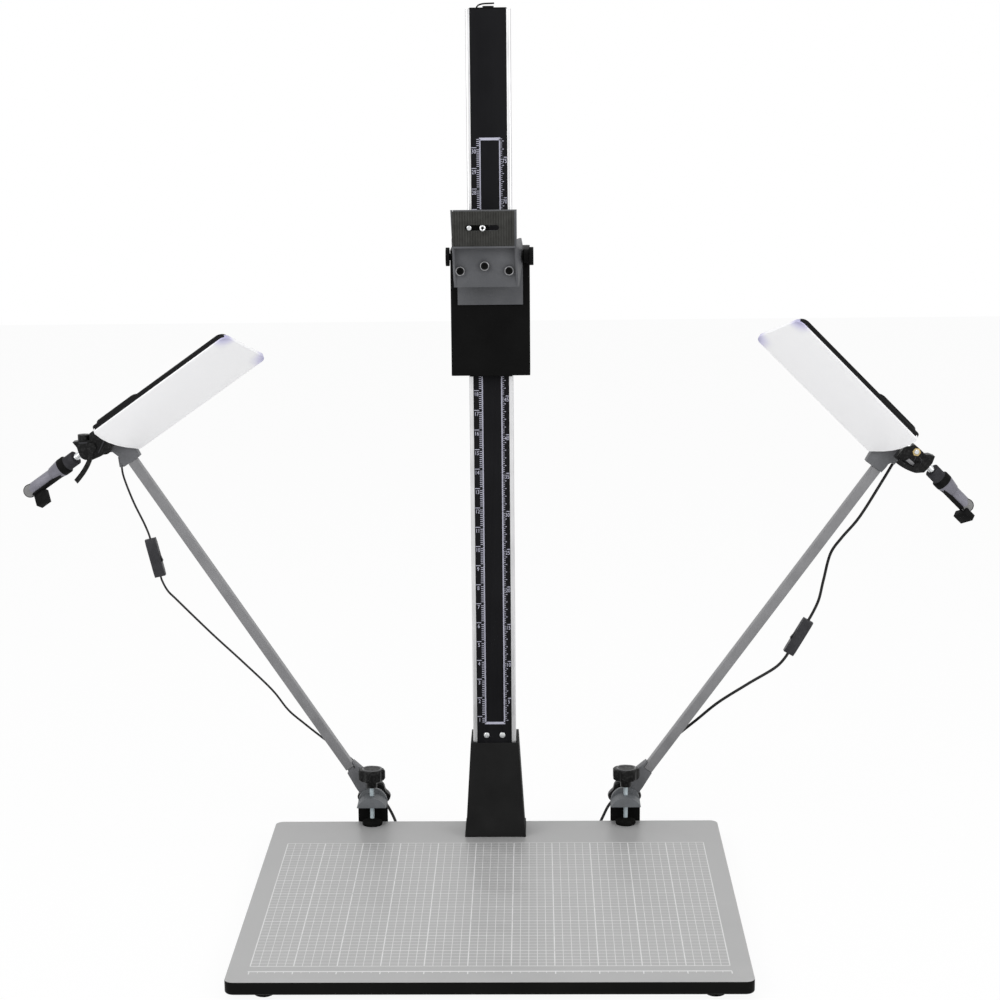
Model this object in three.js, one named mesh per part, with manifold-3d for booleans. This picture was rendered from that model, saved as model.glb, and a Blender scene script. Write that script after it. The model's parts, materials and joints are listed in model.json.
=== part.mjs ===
// Copy stand: a ruled baseboard, a column with a sliding camera carriage, and two clamp-on lamp arms.
// Millimetres, +Z up. The origin is the middle of the board's top face, +X runs to the right and
// +Y runs away from the front edge.
import * as THREE from "three";
import { mergeVertices } from "three/addons/utils/BufferGeometryUtils.js";
import Module from "manifold-3d";

const wasm = await Module();
wasm.setup();

// Clearances
const gap = 0.3;
const runningGap = 0.5;
const overrun = 2;

// Facets
const arcSegments = 5;
const roundSegments = 24;
const discSegments = 40;
const lobeSegments = 8;
const hexSides = 6;
const ringSides = 6;
const ringSegments = 16;
const wireSegments = 10;
const thinSegments = 2;
const weldReach = 1e-4;

// Baseboard and its feet
const boardWidth = 600;
const boardDepth = 596;
const boardThick = 16;
const boardCorner = 11;
const footRadius = 11.5;
const footHeight = 8.5;
const footInsetX = 43;
const footInsetY = 26.5;
const footRim = 1.5;

// Column, its scale strip and its cap
const columnWidth = 56.4;
const columnDepth = 50;
const columnWall = 4;
const columnHeight = 1071;
const columnRound = 2.5;
const columnInset = 68;
const stripWidth = 45.3;
const stripThick = 1.6;
const capPlug = 14;
const capFlange = 1.2;
const capBumpRadius = 7;
const capBumpHeight = 3.4;
const wireRadius = 1;
const wireX = -14.1;
const wireRise = 5.5;
const wireReach = 22;
const wireKneeShare = 0.6;

// Column foot
const footPlinthWidth = 81.2;
const footPlinthHeight = 5;
const footFlareWidth = 78.7;
const footTopWidth = 63.2;
const footTop = 130.4;
const footPanelThick = 2.7;
const footBackWall = 16;
const footScrewX = 10.4;
const footScrewZ = 140.7;
const footScrewRadius = 4;
const footScrewHead = 2;
const footScrewShank = 2;
const screwTopShare = 0.6;
const screwRimShare = 1 / 3;
const footNutWidth = 34;
const footNutHeight = 10;
const footNutThick = 3;

// Carriage sleeve and its lock
const sleeveWidth = 100;
const sleeveBottom = 619;
const sleeveTop = 777;
const sleeveReach = 16;
const sleeveWall = 3;
const sleeveCollar = 10;
const sleeveLipWidth = 54;
const sleeveLipDrop = 1.5;
const lockShaft = 4;
const lockKnobRadius = 19;
const lockKnobDepth = 16;
const lockNeckRadius = 9;
const lockNeckDepth = 7;

// Fixed mount of the bracket and the tilt axle
const mountLeft = -41;
const mountRight = 41.3;
const mountBottom = 709;
const mountTop = 776;
const mountThick = 3.5;
const axleOut = 11;
const axleZ = 770;
const axleRadius = 4;
const barrelRadius = 10;
const barrelLeft = -43.1;
const barrelRight = 35.4;
const barrelWebHeight = 14;

// Tilting camera bracket
const padLeft = -45.8;
const padRight = 33.8;
const padBottom = 785.5;
const padTop = 829.6;
const padOut = 36;
const rubberThick = 2.5;
const rubberInset = 1.6;
const plateThick = 3;
const webOut = 23;
const webThick = 4;
const webBottom = 734;
const shelfThick = 3;
const cheekThick = 2.5;
const cheekEndRadius = 7;
const cheekEndTurns = [-50, -25, 0, 25, 50, 70];
const cheekEarBehind = 4.5;
const cheekEarBottom = 784;
const cheekEarZ = 792.7;
const cheekEarAhead = 3;
const leftLean = -0.04;
const leftFlare = -0.05;
const rightLean = 0;
const rightFlare = 0.2;
const lipHeight = 2.6;
const rubRibPitch = 3.2;
const rubRibDepth = 0.7;
const rubRibWidth = 1.4;
const slotLeft = -29.5;
const slotRight = 12.5;
const slotZ = 807.8;
const slotHeight = 6.8;

// Bracket bolts and their nut bar
const boltCentreX = -6;
const boltSpacing = 30.4;
const boltSideZ = 754.2;
const boltMidZ = 760.3;
const boltHeadRadius = 5.6;
const boltHeadDepth = 4;
const boltShank = 3.5;
const boltSocket = 3.2;
const boltSocketDepth = 2.6;
const nutBarHeight = 18;
const nutBarThick = 3;
const nutBarMargin = 5;

// Camera screw, its slider and the tilt bolt and knob
const screwX = -7.8;
const screwRadius = 3.1;
const screwReach = 6;
const screwHeadRadius = 8.5;
const screwHeadDepth = 5;
const sliderThick = 1.6;
const sliderHeight = 16;
const sliderMargin = 7;
const pinX = -24.5;
const pinRadius = 2;
const pinReach = 2;
const ringWire = 1.1;
const ringRadius = 6;
const boltHeadLeft = -55.1;
const boltHeadWidth = 4.9;
const tiltHeadRadius = 11.6;
const knobHubWidth = 6.7;
const knobHubRadius = 8.8;
const knobDiscWidth = 5.6;
const knobDiscRadius = 11.3;

// Bench clamps
const jawWidth = 40;
const jawReach = 28;
const jawUnderside = 27.4;
const jawTop = 41;
const jawWall = 7;
const cheekRadius = 19.8;
const clampBackThick = 6;
const lowerJawThick = 6;
const lowerJawReach = 24;
const clampScrewInset = 13.8;
const clampScrewRadius = 2.9;
const clampPadRadius = 13.6;
const clampPadHeight = 5;
const clampPadTop = 9;
const padEdge = 1;
const neckRadius = 9.3;
const neckBottom = 53;
const clampKnobBottom = 63;
const clampKnobHeight = 15.5;
const clampNeckRadius = 7.5;
const clampKnobRadius = 16.9;
const clampKnobLobe = 1.7;
const clampKnobLobes = 7;
const knobEdge = 2.5;

// Arms
const pivotZ = 27;
const armDepth = 16;
const armWidth = 12.4;
const armWall = 1.5;
const armTubeStart = 52;
const armReach = 574.5;
const armTubeTop = 15;
const bracketWidth = 18;
const bracketWaist = 28;
const bracketTopHalf = 7;
const gussetOutline = [
  [7, 4],
  [13, 28],
  [13.5, 42],
  [8.8, 60],
  [6.8, 60],
  [6.8, 40],
];
const tongueLength = 26;
const pivotBolt = 4;
const lockLobeRadius = 20.6;
const lockLobe = 2.2;
const lockLobes = 6;
const lockDepth = 13;
const lockGap = 1;

// Upper casting and swivel
const castingDepth = 16;
const swivelX = 18;
const swivelZ = 20;
const castingRound = 8;
const castingOutline = [
  [-12.5, -14.7, 1],
  [13, -14.7, 1],
  [14, -6, 1],
  [11, -0.5, 1 / 2],
  [14.5, 10, 0],
  [24, 15, 0],
  [12, 28, 0],
  [-2, 22, 0],
  [-14.5, 1, 1],
];
const flangeRadius = 8.5;
const flangeDepth = 7;
const swivelPin = 4;
const blockReach = 32.6;
const rodOffsetY = -23;
const rodOffsetZ = 12.6;
const drumRadius = 8.2;
const drumSunk = 7;
const drumHeight = 8;
const leverDepth = 6;
const leverHubRadius = 6;
const leverWidth = 6.6;
const nutRadius = 5.5;
const nutDepth = 2.4;

// Lamp heads
const lampLength = 227;
const lampWidth = 84;
const lampCorner = 9;
const nearCorner = 6;
const nearReach = 6.5;
const nearArch = 16;
const diffuserOffset = 18;
const diffuserDepth = 5;
const housingDepth = 4.6;
const housingWall = 1.6;
const housingSetBack = 4;
const housingStep = 3;
const housingStepShare = 1 / 3;
const lampStart = 31.5;
const rimWidth = 1.6;
const socketWidth = 22;
const socketLength = 60;
const socketRise = 8;
const rodShaftRadius = 4.5;
const rodEntry = 40;
const rodTubeRadius = 8.2;
const rodTubeStart = 44.4;
const rodRim = 0.8;
const collarStart = 40.4;
const collarEnd = 57.4;
const collarRadius = 9.6;
const bellRingRadius = 12;
const bellRingWidth = 8;
const bellEnd = 82.5;
const capFacing = [0.46, 0.68, -0.57];
const capReach = 9;
const capBack = 2;
const stripWide = 6;
const stripDeep = 2.6;

// Cords, switches and plugs
const cordWidth = 4.2;
const cordThick = 2.4;
const cordStep = 12;
const coilRadius = 21;
const coilPitch = 4.8;
const coilLayerPitch = 2.95;
const coilLayerTurns = 3;
const coilSteps = 24;
const coilSides = 6;
const coilCentreX = 100;
const coilBehind = 28;
const coilRunOut = 38;
const coilRunAside = 14.5;
const coilRunSteps = 8;
const switchWidth = 12;
const switchDepth = 14.5;
const switchLength = 45.5;
const switchTaper = 7;
const rockerWidth = 7;
const rockerLength = 14;
const rockerProud = 1.8;
const rockerPocket = 4;
const rockerBack = 3.2;
const cordBossRadius = 2.9;
const cordBossLength = 14;
const plugLength = 28;
const plugWidth = 24;
const plugHeight = 13;
const plugNeckShare = 0.35;
const plugCorner = 3;
const bladeLength = 16;
const bladeHeight = 6.3;
const bladeThick = 1.6;
const bladeSpacing = 12.7;

// What differs between the two sides
const sides = {
  left: {
    sign: -1,
    clampX: -168,
    tilt: -33.35,
    extend: 3.5,
    castingShift: 0,
    rodEnd: 125.7,
    clip: { from: 4, length: 17, drop: 19, width: 11, shift: 5 },
    blockOutline: [
      [-18.8, -4.1],
      [-5.8, -6.4],
      [6.9, -4.6],
      [19.1, -1.1],
      [26.8, 5.2],
      [28.7, 9.9],
      [27.4, 16.4],
      [24.1, 24.4],
      [24.1, 33.1],
      [17.6, 29.2],
      [5, 20.6],
      [-1.3, 27.7],
      [-6.4, 26.7],
      [-8.8, 23.2],
      [-16.4, 6.3],
    ],
    nut: false,
    topPlace: [12.5, 25.1],
    leverHub: [8, 12],
    leverLine: [
      [5, 14],
      [20, -4],
      [53.5, -9],
    ],
    swivel: -38.7,
    azimuth: -18.2,
    elevation: 33.9,
    roll: -30.2,
    switchPlace: [-43.1, 1.4, 113.3],
    switchTurn: -13.1,
    topRoute: [
      [-17.3, -1.6, 13.5],
      [-21.8, -1.6, 22.5],
      [-31.8, -0.6, 59.2],
      [-37.8, 0.9, 93.4],
    ],
    middleRoute: [
      [-65.3, 2.4],
      [-62.7, 3.4],
      [-50.7, 5.4],
      [-39.1, 7.4],
      [-28.9, 10.4],
      [-27.4, 12.4],
      [-20.9, 14.4],
      [-10.2, 18.4],
      [1.8, 24.4],
      [4.8, 27.4],
      [1.6, 30.4],
      [0, 33.4],
      [0, 37.4],
    ],
    middleShares: [
      0.848, 0.8119, 0.6702, 0.5515, 0.4286, 0.3557, 0.298,
      0.2145, 0.1283, 0.0782, 0.0209, 0, 0,
    ],
    tailRoute: [
      [0, 52.3, 27],
      [0, 56, 27],
      [4, 60, 20],
      [16.5, 52, 6.4],
      [26.5, 43, -10],
      [32, 28, -20.5],
    ],
  },
  right: {
    sign: 1,
    clampX: 175.5,
    tilt: 36,
    extend: 0,
    castingShift: -5.5,
    rodEnd: 113.3,
    clip: { from: -13, length: 16, drop: 9, width: 21, shift: -3 },
    blockOutline: [
      [-12, -9],
      [-1, -7],
      [10, -6],
      [22.1, -5.8],
      [29.3, 1.3],
      [29.7, 9.3],
      [29.3, 17.5],
      [25.9, 26],
      [19.3, 23.6],
      [15.6, 19.9],
      [6.2, 20.6],
      [-4.7, 20.5],
      [-12, 8],
    ],
    nut: true,
    topPlace: [3.4, 15],
    leverHub: [17.5, 1],
    leverLine: [
      [20, -3],
      [6, -9],
      [-8, -9.5],
    ],
    swivel: 40.7,
    azimuth: -161.9,
    elevation: 43.6,
    roll: 28.3,
    switchPlace: [52.3, 1.4, 230.2],
    switchTurn: 30.2,
    topRoute: [
      [13.8, -1.6, -2.9],
      [17.1, -1.6, 27],
      [21.9, -0.6, 82.6],
      [19.9, 0.4, 115.9],
      [20.7, 1.4, 138.9],
      [35.5, 1.4, 175.3],
      [47, 1.4, 201.4],
    ],
    middleRoute: [
      [57.2, 3.4],
      [40.8, 6.4],
      [24, 9.4],
      [16.2, 13.4],
      [9.5, 18.4],
      [0.7, 26.4],
      [-1.9, 30.4],
      [-2.3, 31.9],
      [0, 33.4],
      [0, 37.4],
    ],
    middleShares: [
      0.7827, 0.657, 0.5231, 0.4201, 0.33,
      0.1774, 0.0643, 0.0167, 0, 0,
    ],
    tailRoute: [
      [0, 52.3, 27],
      [0, 56, 27],
      [-5.5, 60, 20],
      [-20.2, 52, 6.4],
      [-30, 43, -10],
      [-37.5, 28, -20.5],
    ],
  },
};

const stand = new THREE.Group();
export default stand;

const colours = {
  laminate: [0xa9a9a9, 0.55, 0],
  black: [0x1b1b1b, 0.6, 0.1],
  rubber: [0x161616, 0.9, 0],
  silver: [0xd4d4d6, 0.35, 0.9],
  chrome: [0xc9cdcf, 0.15, 1],
  grey: [0x6a6a6d, 0.5, 0.5],
  arm: [0x808082, 0.5, 0.5],
  pad: [0x42423f, 0.9, 0],
  light: [0xececee, 0.4, 0],
  cord: [0x1c1c1c, 0.7, 0],
};

// Solids

function solidOf(geometry) {
  const bare = geometry.index ? geometry.toNonIndexed() : geometry.clone();
  const clean = new THREE.BufferGeometry();
  clean.setAttribute("position", bare.getAttribute("position"));
  const merged = mergeVertices(clean, weldReach);
  const vertProperties = merged.attributes.position.array;
  const triVerts = new Uint32Array(merged.index.array);
  return new wasm.Manifold(new wasm.Mesh({ numProp: 3, vertProperties, triVerts }));
}

function geometryOf(solid) {
  const { numProp, numVert, vertProperties, triVerts } = solid.getMesh();
  const positions = new Float32Array(numVert * 3);
  for (let i = 0; i < numVert; i++) {
    positions.set(vertProperties.subarray(i * numProp, i * numProp + 3), i * 3);
  }
  const geometry = new THREE.BufferGeometry();
  geometry.setAttribute("position", new THREE.BufferAttribute(positions, 3));
  geometry.setIndex(new THREE.BufferAttribute(triVerts, 1));
  return geometry;
}

const join = (first, ...rest) => rest.reduce((whole, piece) => whole.add(piece), first);
const cut = (first, ...rest) => rest.reduce((whole, piece) => whole.subtract(piece), first);

function add(parent, name, solid, colour) {
  const [color, roughness, metalness] = colours[colour];
  const geometry = geometryOf(solid).toNonIndexed();
  geometry.computeVertexNormals();
  const mesh = new THREE.Mesh(geometry, new THREE.MeshStandardMaterial({ color, roughness, metalness }));
  mesh.name = name;
  parent.add(mesh);
  return mesh;
}

function group(parent, x, y, z, turn = new THREE.Euler()) {
  const made = new THREE.Group();
  made.position.set(x, y, z);
  made.rotation.copy(turn);
  parent.add(made);
  return made;
}

// A block from its lowest to its highest corner.
function block(low, high) {
  const size = high.map((value, axis) => value - low[axis]);
  const geometry = new THREE.BoxGeometry(...size);
  return solidOf(geometry.translate(...low.map((value, axis) => value + size[axis] / 2)));
}

// A plate cut from an outline. The outline lies in the plane across the named axis.
function plate(points, from, to, axis = "z") {
  const shape = points instanceof THREE.Shape ? points : new THREE.Shape(
    points.map(([u, v]) => new THREE.Vector2(u, v)),
  );
  const geometry = new THREE.ExtrudeGeometry(
    shape,
    { depth: to - from, bevelEnabled: false, curveSegments: arcSegments },
  );
  geometry.translate(0, 0, from);
  return solidOf(geometry.applyMatrix4(axisMatrix[axis]));
}

// x: outline in (y, z). y: outline in (x, z), with the plate from the far side. z: outline in (x, y).
const axisMatrix = {
  x: new THREE.Matrix4().makeBasis(
    new THREE.Vector3(0, 1, 0),
    new THREE.Vector3(0, 0, 1),
    new THREE.Vector3(1, 0, 0),
  ),
  y: new THREE.Matrix4().makeBasis(
    new THREE.Vector3(1, 0, 0),
    new THREE.Vector3(0, 0, 1),
    new THREE.Vector3(0, -1, 0),
  ),
  z: new THREE.Matrix4(),
};

// A turned solid. Its profile is a list of [radius, height] pairs, and its axis is one of x, y and z.
function turned(profile, axis = "z", place = [0, 0, 0], segments = roundSegments) {
  const points = profile.map(([radius, height]) => new THREE.Vector2(radius, height));
  const geometry = new THREE.LatheGeometry(points, segments);
  geometry.rotateX(Math.PI / 2);
  if (axis === "x") geometry.rotateY(Math.PI / 2);
  if (axis === "y") geometry.rotateX(-Math.PI / 2);
  return solidOf(geometry.translate(...place));
}

function rod(radius, from, to, axis = "z", place = [0, 0, 0], segments = roundSegments) {
  const profile = [
    [0, from],
    [radius, from],
    [radius, to],
    [0, to],
  ];
  return turned(profile, axis, place, segments);
}

function roundedRectangle(width, height, radius) {
  const shape = new THREE.Shape();
  const x = width / 2;
  const y = height / 2;
  shape.moveTo(-x + radius, -y);
  shape.lineTo(x - radius, -y);
  shape.absarc(x - radius, -y + radius, radius, -Math.PI / 2, 0);
  shape.lineTo(x, y - radius);
  shape.absarc(x - radius, y - radius, radius, 0, Math.PI / 2);
  shape.lineTo(-x + radius, y);
  shape.absarc(-x + radius, y - radius, radius, Math.PI / 2, Math.PI);
  shape.lineTo(-x, -y + radius);
  shape.absarc(-x + radius, -y + radius, radius, Math.PI, (3 * Math.PI) / 2);
  return shape;
}

// A lobed knob about Z, with its outer edges broken.
function lobedKnob(radius, lobe, lobes, from, to) {
  const outline = (scale) => {
    const count = lobes * lobeSegments;
    return Array.from({ length: count }, (_, i) => {
      const turn = (2 * Math.PI * i) / count;
      const reach = (radius + lobe * Math.cos(lobes * turn)) * scale;
      return [reach * Math.cos(turn), reach * Math.sin(turn)];
    });
  };
  const body = plate(outline(1), from, to);
  const dome = turned(
    [
      [0, from],
      [radius + lobe - knobEdge, from],
      [radius + lobe, from + knobEdge],
      [radius + lobe, to - knobEdge],
      [radius + lobe - knobEdge, to],
      [0, to],
    ],
    "z",
    [0, 0, 0],
    lobes * lobeSegments,
  );
  return body.intersect(dome);
}

function turnedSolid(solid, matrix) {
  return solidOf(geometryOf(solid).toNonIndexed().applyMatrix4(matrix));
}

const degrees = (value) => (value * Math.PI) / 180;

// Baseboard

const boardRear = boardDepth / 2;
const boardBottom = -boardThick;
const floorZ = boardBottom - footHeight;

function buildBoard() {
  const outline = roundedRectangle(boardWidth, boardDepth, boardCorner);
  add(stand, "baseboard", plate(outline, boardBottom, 0), "laminate");
  for (const [side, sx] of [["left", -1], ["right", 1]]) {
    for (const [end, sy] of [["front", -1], ["rear", 1]]) {
      const profile = [
        [0, floorZ],
        [footRadius - footRim, floorZ],
        [footRadius, floorZ + footRim],
        [footRadius, boardBottom],
        [0, boardBottom],
      ];
      const place = [sx * (boardWidth / 2 - footInsetX), sy * (boardDepth / 2 - footInsetY), 0];
      add(stand, `board_foot_${end}_${side}`, turned(profile, "z", place), "rubber");
    }
  }
}

// Column

const columnFront = boardRear - columnInset;
const columnBack = columnFront + columnDepth;
const columnMiddle = columnFront + columnDepth / 2;
const grooveDepth = stripThick + gap;

function buildColumn() {
  const outer = roundedRectangle(columnWidth, columnDepth, columnRound);
  const bore = roundedRectangle(columnWidth - 2 * columnWall, columnDepth - 2 * columnWall, columnRound);
  const tube = cut(plate(outer, 0, columnHeight), plate(bore, -overrun, columnHeight + overrun));
  const groove = block(
    [-stripWidth / 2 - gap, -columnDepth / 2 - overrun, -overrun],
    [stripWidth / 2 + gap, -columnDepth / 2 + grooveDepth, columnHeight + overrun],
  );
  const shaft = group(stand, 0, columnMiddle, 0);
  const screwHoles = [-1, 1].map((side) =>
    rod(footScrewShank + gap, -columnDepth / 2 - overrun, -columnDepth / 2 + columnWall + overrun, "y", [
      side * footScrewX,
      0,
      footScrewZ,
    ]),
  );
  add(shaft, "column", cut(tube, groove, ...screwHoles), "silver");
  const strip = block(
    [-stripWidth / 2, -columnDepth / 2, 0],
    [stripWidth / 2, -columnDepth / 2 + stripThick, columnHeight],
  );
  add(shaft, "scale_strip", cut(strip, ...screwHoles), "black");

  const plug = plate(
    roundedRectangle(
      columnWidth - 2 * columnWall - 2 * gap,
      columnDepth - 2 * columnWall - 2 * gap,
      columnRound,
    ),
    columnHeight - capPlug,
    columnHeight,
  );
  const flange = plate(
    roundedRectangle(stripWidth, columnDepth - 2 * gap, columnRound),
    columnHeight + gap,
    columnHeight + gap + capFlange,
  );
  const neck = plate(
    roundedRectangle(
      columnWidth - 2 * columnWall - 2 * gap,
      columnDepth - 2 * columnWall - 2 * gap,
      columnRound,
    ),
    columnHeight - overrun,
    columnHeight + gap + capFlange / 2,
  );
  const bump = rod(capBumpRadius, columnHeight, columnHeight + gap + capBumpHeight);
  const wireRoot = new THREE.Vector3(
    wireX,
    -columnDepth / 2 + columnWall + wireRadius + runningGap,
    columnHeight,
  );
  const path = new THREE.CatmullRomCurve3([
    wireRoot.clone(),
    wireRoot.clone().add(new THREE.Vector3(wireRadius, 0, wireRise * wireKneeShare)),
    wireRoot.clone().add(new THREE.Vector3(wireReach / 4, 0, wireRise)),
    wireRoot.clone().add(new THREE.Vector3(wireReach, 0, wireRise + wireRadius)),
  ]);
  const section = new THREE.Shape().absarc(0, 0, wireRadius, 0, 2 * Math.PI);
  const wire = new THREE.ExtrudeGeometry(
    section,
    { steps: wireSegments, extrudePath: path, curveSegments: thinSegments },
  );
  add(shaft, "column_cap", join(plug, flange, neck, bump, solidOf(wire)), "black");
}

// Column foot, with the pocket that holds the column

function buildColumnFoot() {
  const footFront = columnFront - gap - footPanelThick;
  const footBack = columnBack + footBackWall;
  const outline = [
    [-footPlinthWidth / 2, 0],
    [footPlinthWidth / 2, 0],
    [footPlinthWidth / 2, footPlinthHeight],
    [footFlareWidth / 2, footPlinthHeight],
    [footTopWidth / 2, footTop],
    [-footTopWidth / 2, footTop],
    [-footFlareWidth / 2, footPlinthHeight],
    [-footPlinthWidth / 2, footPlinthHeight],
  ];
  const body = plate(outline, -footBack, -footFront, "y");
  const pocket = block(
    [-columnWidth / 2 - gap, columnFront - gap, -overrun],
    [columnWidth / 2 + gap, columnBack + gap, footTop + overrun],
  );
  add(stand, "column_foot", cut(body, pocket), "black");

  const nutFront = columnFront + columnWall + gap;
  const nut = block(
    [-footNutWidth / 2, nutFront, footScrewZ - footNutHeight / 2],
    [footNutWidth / 2, nutFront + footNutThick, footScrewZ + footNutHeight / 2],
  );
  const screws = [-1, 1].map((side) => {
    const place = [side * footScrewX, 0, footScrewZ];
    const head = turned(
      [
        [0, columnFront - gap - footScrewHead],
        [footScrewRadius * screwTopShare, columnFront - gap - footScrewHead],
        [footScrewRadius, columnFront - gap - footScrewHead * screwRimShare],
        [footScrewRadius, columnFront - gap],
        [0, columnFront - gap],
      ],
      "y",
      place,
    );
    return join(head, rod(footScrewShank, columnFront - gap, nutFront + footNutThick / 2, "y", place));
  });
  add(stand, "foot_screws", join(nut, ...screws), "chrome");
}

// Carriage sleeve round the column, and the knob that locks it

const sleeveFront = columnFront - sleeveReach;
const sleeveBack = columnBack + sleeveReach;
const lockZ = (sleeveBottom + sleeveTop) / 2;

function buildCarriage() {
  const outer = plate(
    roundedRectangle(sleeveWidth, sleeveBack - sleeveFront, sleeveWall),
    sleeveBottom,
    sleeveTop,
  );
  const inner = block(
    [
      -sleeveWidth / 2 + sleeveWall,
      (sleeveFront - sleeveBack) / 2 + sleeveWall,
      sleeveBottom + sleeveCollar,
    ],
    [sleeveWidth / 2 - sleeveWall, (sleeveBack - sleeveFront) / 2 - sleeveWall, sleeveTop - sleeveCollar],
  );
  const middle = (sleeveFront + sleeveBack) / 2;
  const bore = block(
    [-columnWidth / 2 - runningGap, columnFront - middle - runningGap, sleeveBottom - 2 * overrun],
    [columnWidth / 2 + runningGap, columnBack - middle + runningGap, sleeveTop + overrun],
  );
  const lip = block(
    [-sleeveLipWidth / 2, sleeveFront - middle + sleeveWall, sleeveBottom - sleeveLipDrop],
    [sleeveLipWidth / 2, columnFront - middle - sleeveWall, sleeveBottom + sleeveWall],
  );
  const lockHole = rod(
    lockShaft + gap,
    columnBack - middle,
    sleeveBack - middle + overrun,
    "y",
    [0, 0, lockZ],
  );
  const lockBoss = block(
    [-lockNeckRadius, columnBack - middle + runningGap, lockZ - lockNeckRadius],
    [lockNeckRadius, sleeveBack - middle - sleeveWall / 2, lockZ + lockNeckRadius],
  );
  const shell = cut(join(cut(outer, inner), lip, lockBoss), bore, lockHole);
  add(group(stand, 0, middle, 0), "carriage_sleeve", shell, "black");

  const knobPlace = group(stand, 0, sleeveBack + gap, lockZ, new THREE.Euler(-Math.PI / 2, 0, 0));
  const neck = rod(lockNeckRadius, 0, lockNeckDepth);
  const knob = lobedKnob(
    lockKnobRadius,
    clampKnobLobe,
    lockLobes,
    lockNeckDepth - gap,
    lockNeckDepth + lockKnobDepth,
  );
  const shaft = rod(lockShaft, columnBack - sleeveBack + runningGap, lockNeckDepth);
  add(knobPlace, "carriage_lock_knob", join(neck, knob, shaft), "black");
}

// Fixed mount plate with the barrel that the bracket tilts on

const axleY = sleeveFront - axleOut;

function buildMount() {
  const back = block(
    [mountLeft, sleeveFront - mountThick, mountBottom],
    [mountRight, sleeveFront, mountTop],
  );
  const barrel = rod(barrelRadius, barrelLeft, barrelRight, "x", [0, axleY, axleZ]);
  const web = block(
    [mountLeft, axleY, axleZ - barrelWebHeight / 2 - overrun],
    [barrelRight, sleeveFront - mountThick / 2, axleZ + barrelWebHeight / 2 - overrun],
  );
  const bore = rod(axleRadius + gap, barrelLeft - overrun, barrelRight + overrun, "x", [0, axleY, axleZ]);
  add(stand, "bracket_mount", cut(join(back, barrel, web), bore), "grey");
}

// Tilting bracket: pad plate, shelf, bolted web and two flared cheeks

const padFace = axleY - padOut;
const webFace = axleY - webOut;
const plateFace = padFace + rubberThick;
const plateBack = plateFace + plateThick;

function slotCutter(height, from, to) {
  const radius = height / 2;
  const body = block([slotLeft + radius, from, slotZ - radius], [slotRight - radius, to, slotZ + radius]);
  return join(
    body,
    rod(radius, from, to, "y", [slotLeft + radius, 0, slotZ]),
    rod(radius, from, to, "y", [slotRight - radius, 0, slotZ]),
  );
}

// A cheek leans with height and flares with depth. Its outline is in (y, z).
function cheek(x, lean, flare) {
  const cheekEnd = cheekEndTurns.map((turn) => [
    axleY + cheekEndRadius * Math.cos(degrees(turn)),
    axleZ + cheekEndRadius * Math.sin(degrees(turn)),
  ]);
  const outline = [
    [plateFace, padBottom - lipHeight],
    [webFace, webBottom],
    [webFace + webThick, webBottom],
    ...cheekEnd,
    [axleY + cheekEarBehind, cheekEarBottom],
    [axleY - cheekEarAhead, cheekEarZ],
    [plateBack, cheekEarZ],
    [plateBack, padTop],
    [plateFace, padTop],
  ];
  const solid = plate(outline, x - cheekThick / 2, x + cheekThick / 2, "x");
  const shear = new THREE.Matrix4().makeShear(0, 0, flare, 0, lean, 0);
  shear.setPosition(-flare * plateFace - lean * padBottom, 0, 0);
  return turnedSolid(solid, shear);
}

function boltPlaces() {
  return [
    [boltCentreX - boltSpacing, boltSideZ],
    [boltCentreX, boltMidZ],
    [boltCentreX + boltSpacing, boltSideZ],
  ];
}

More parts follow.
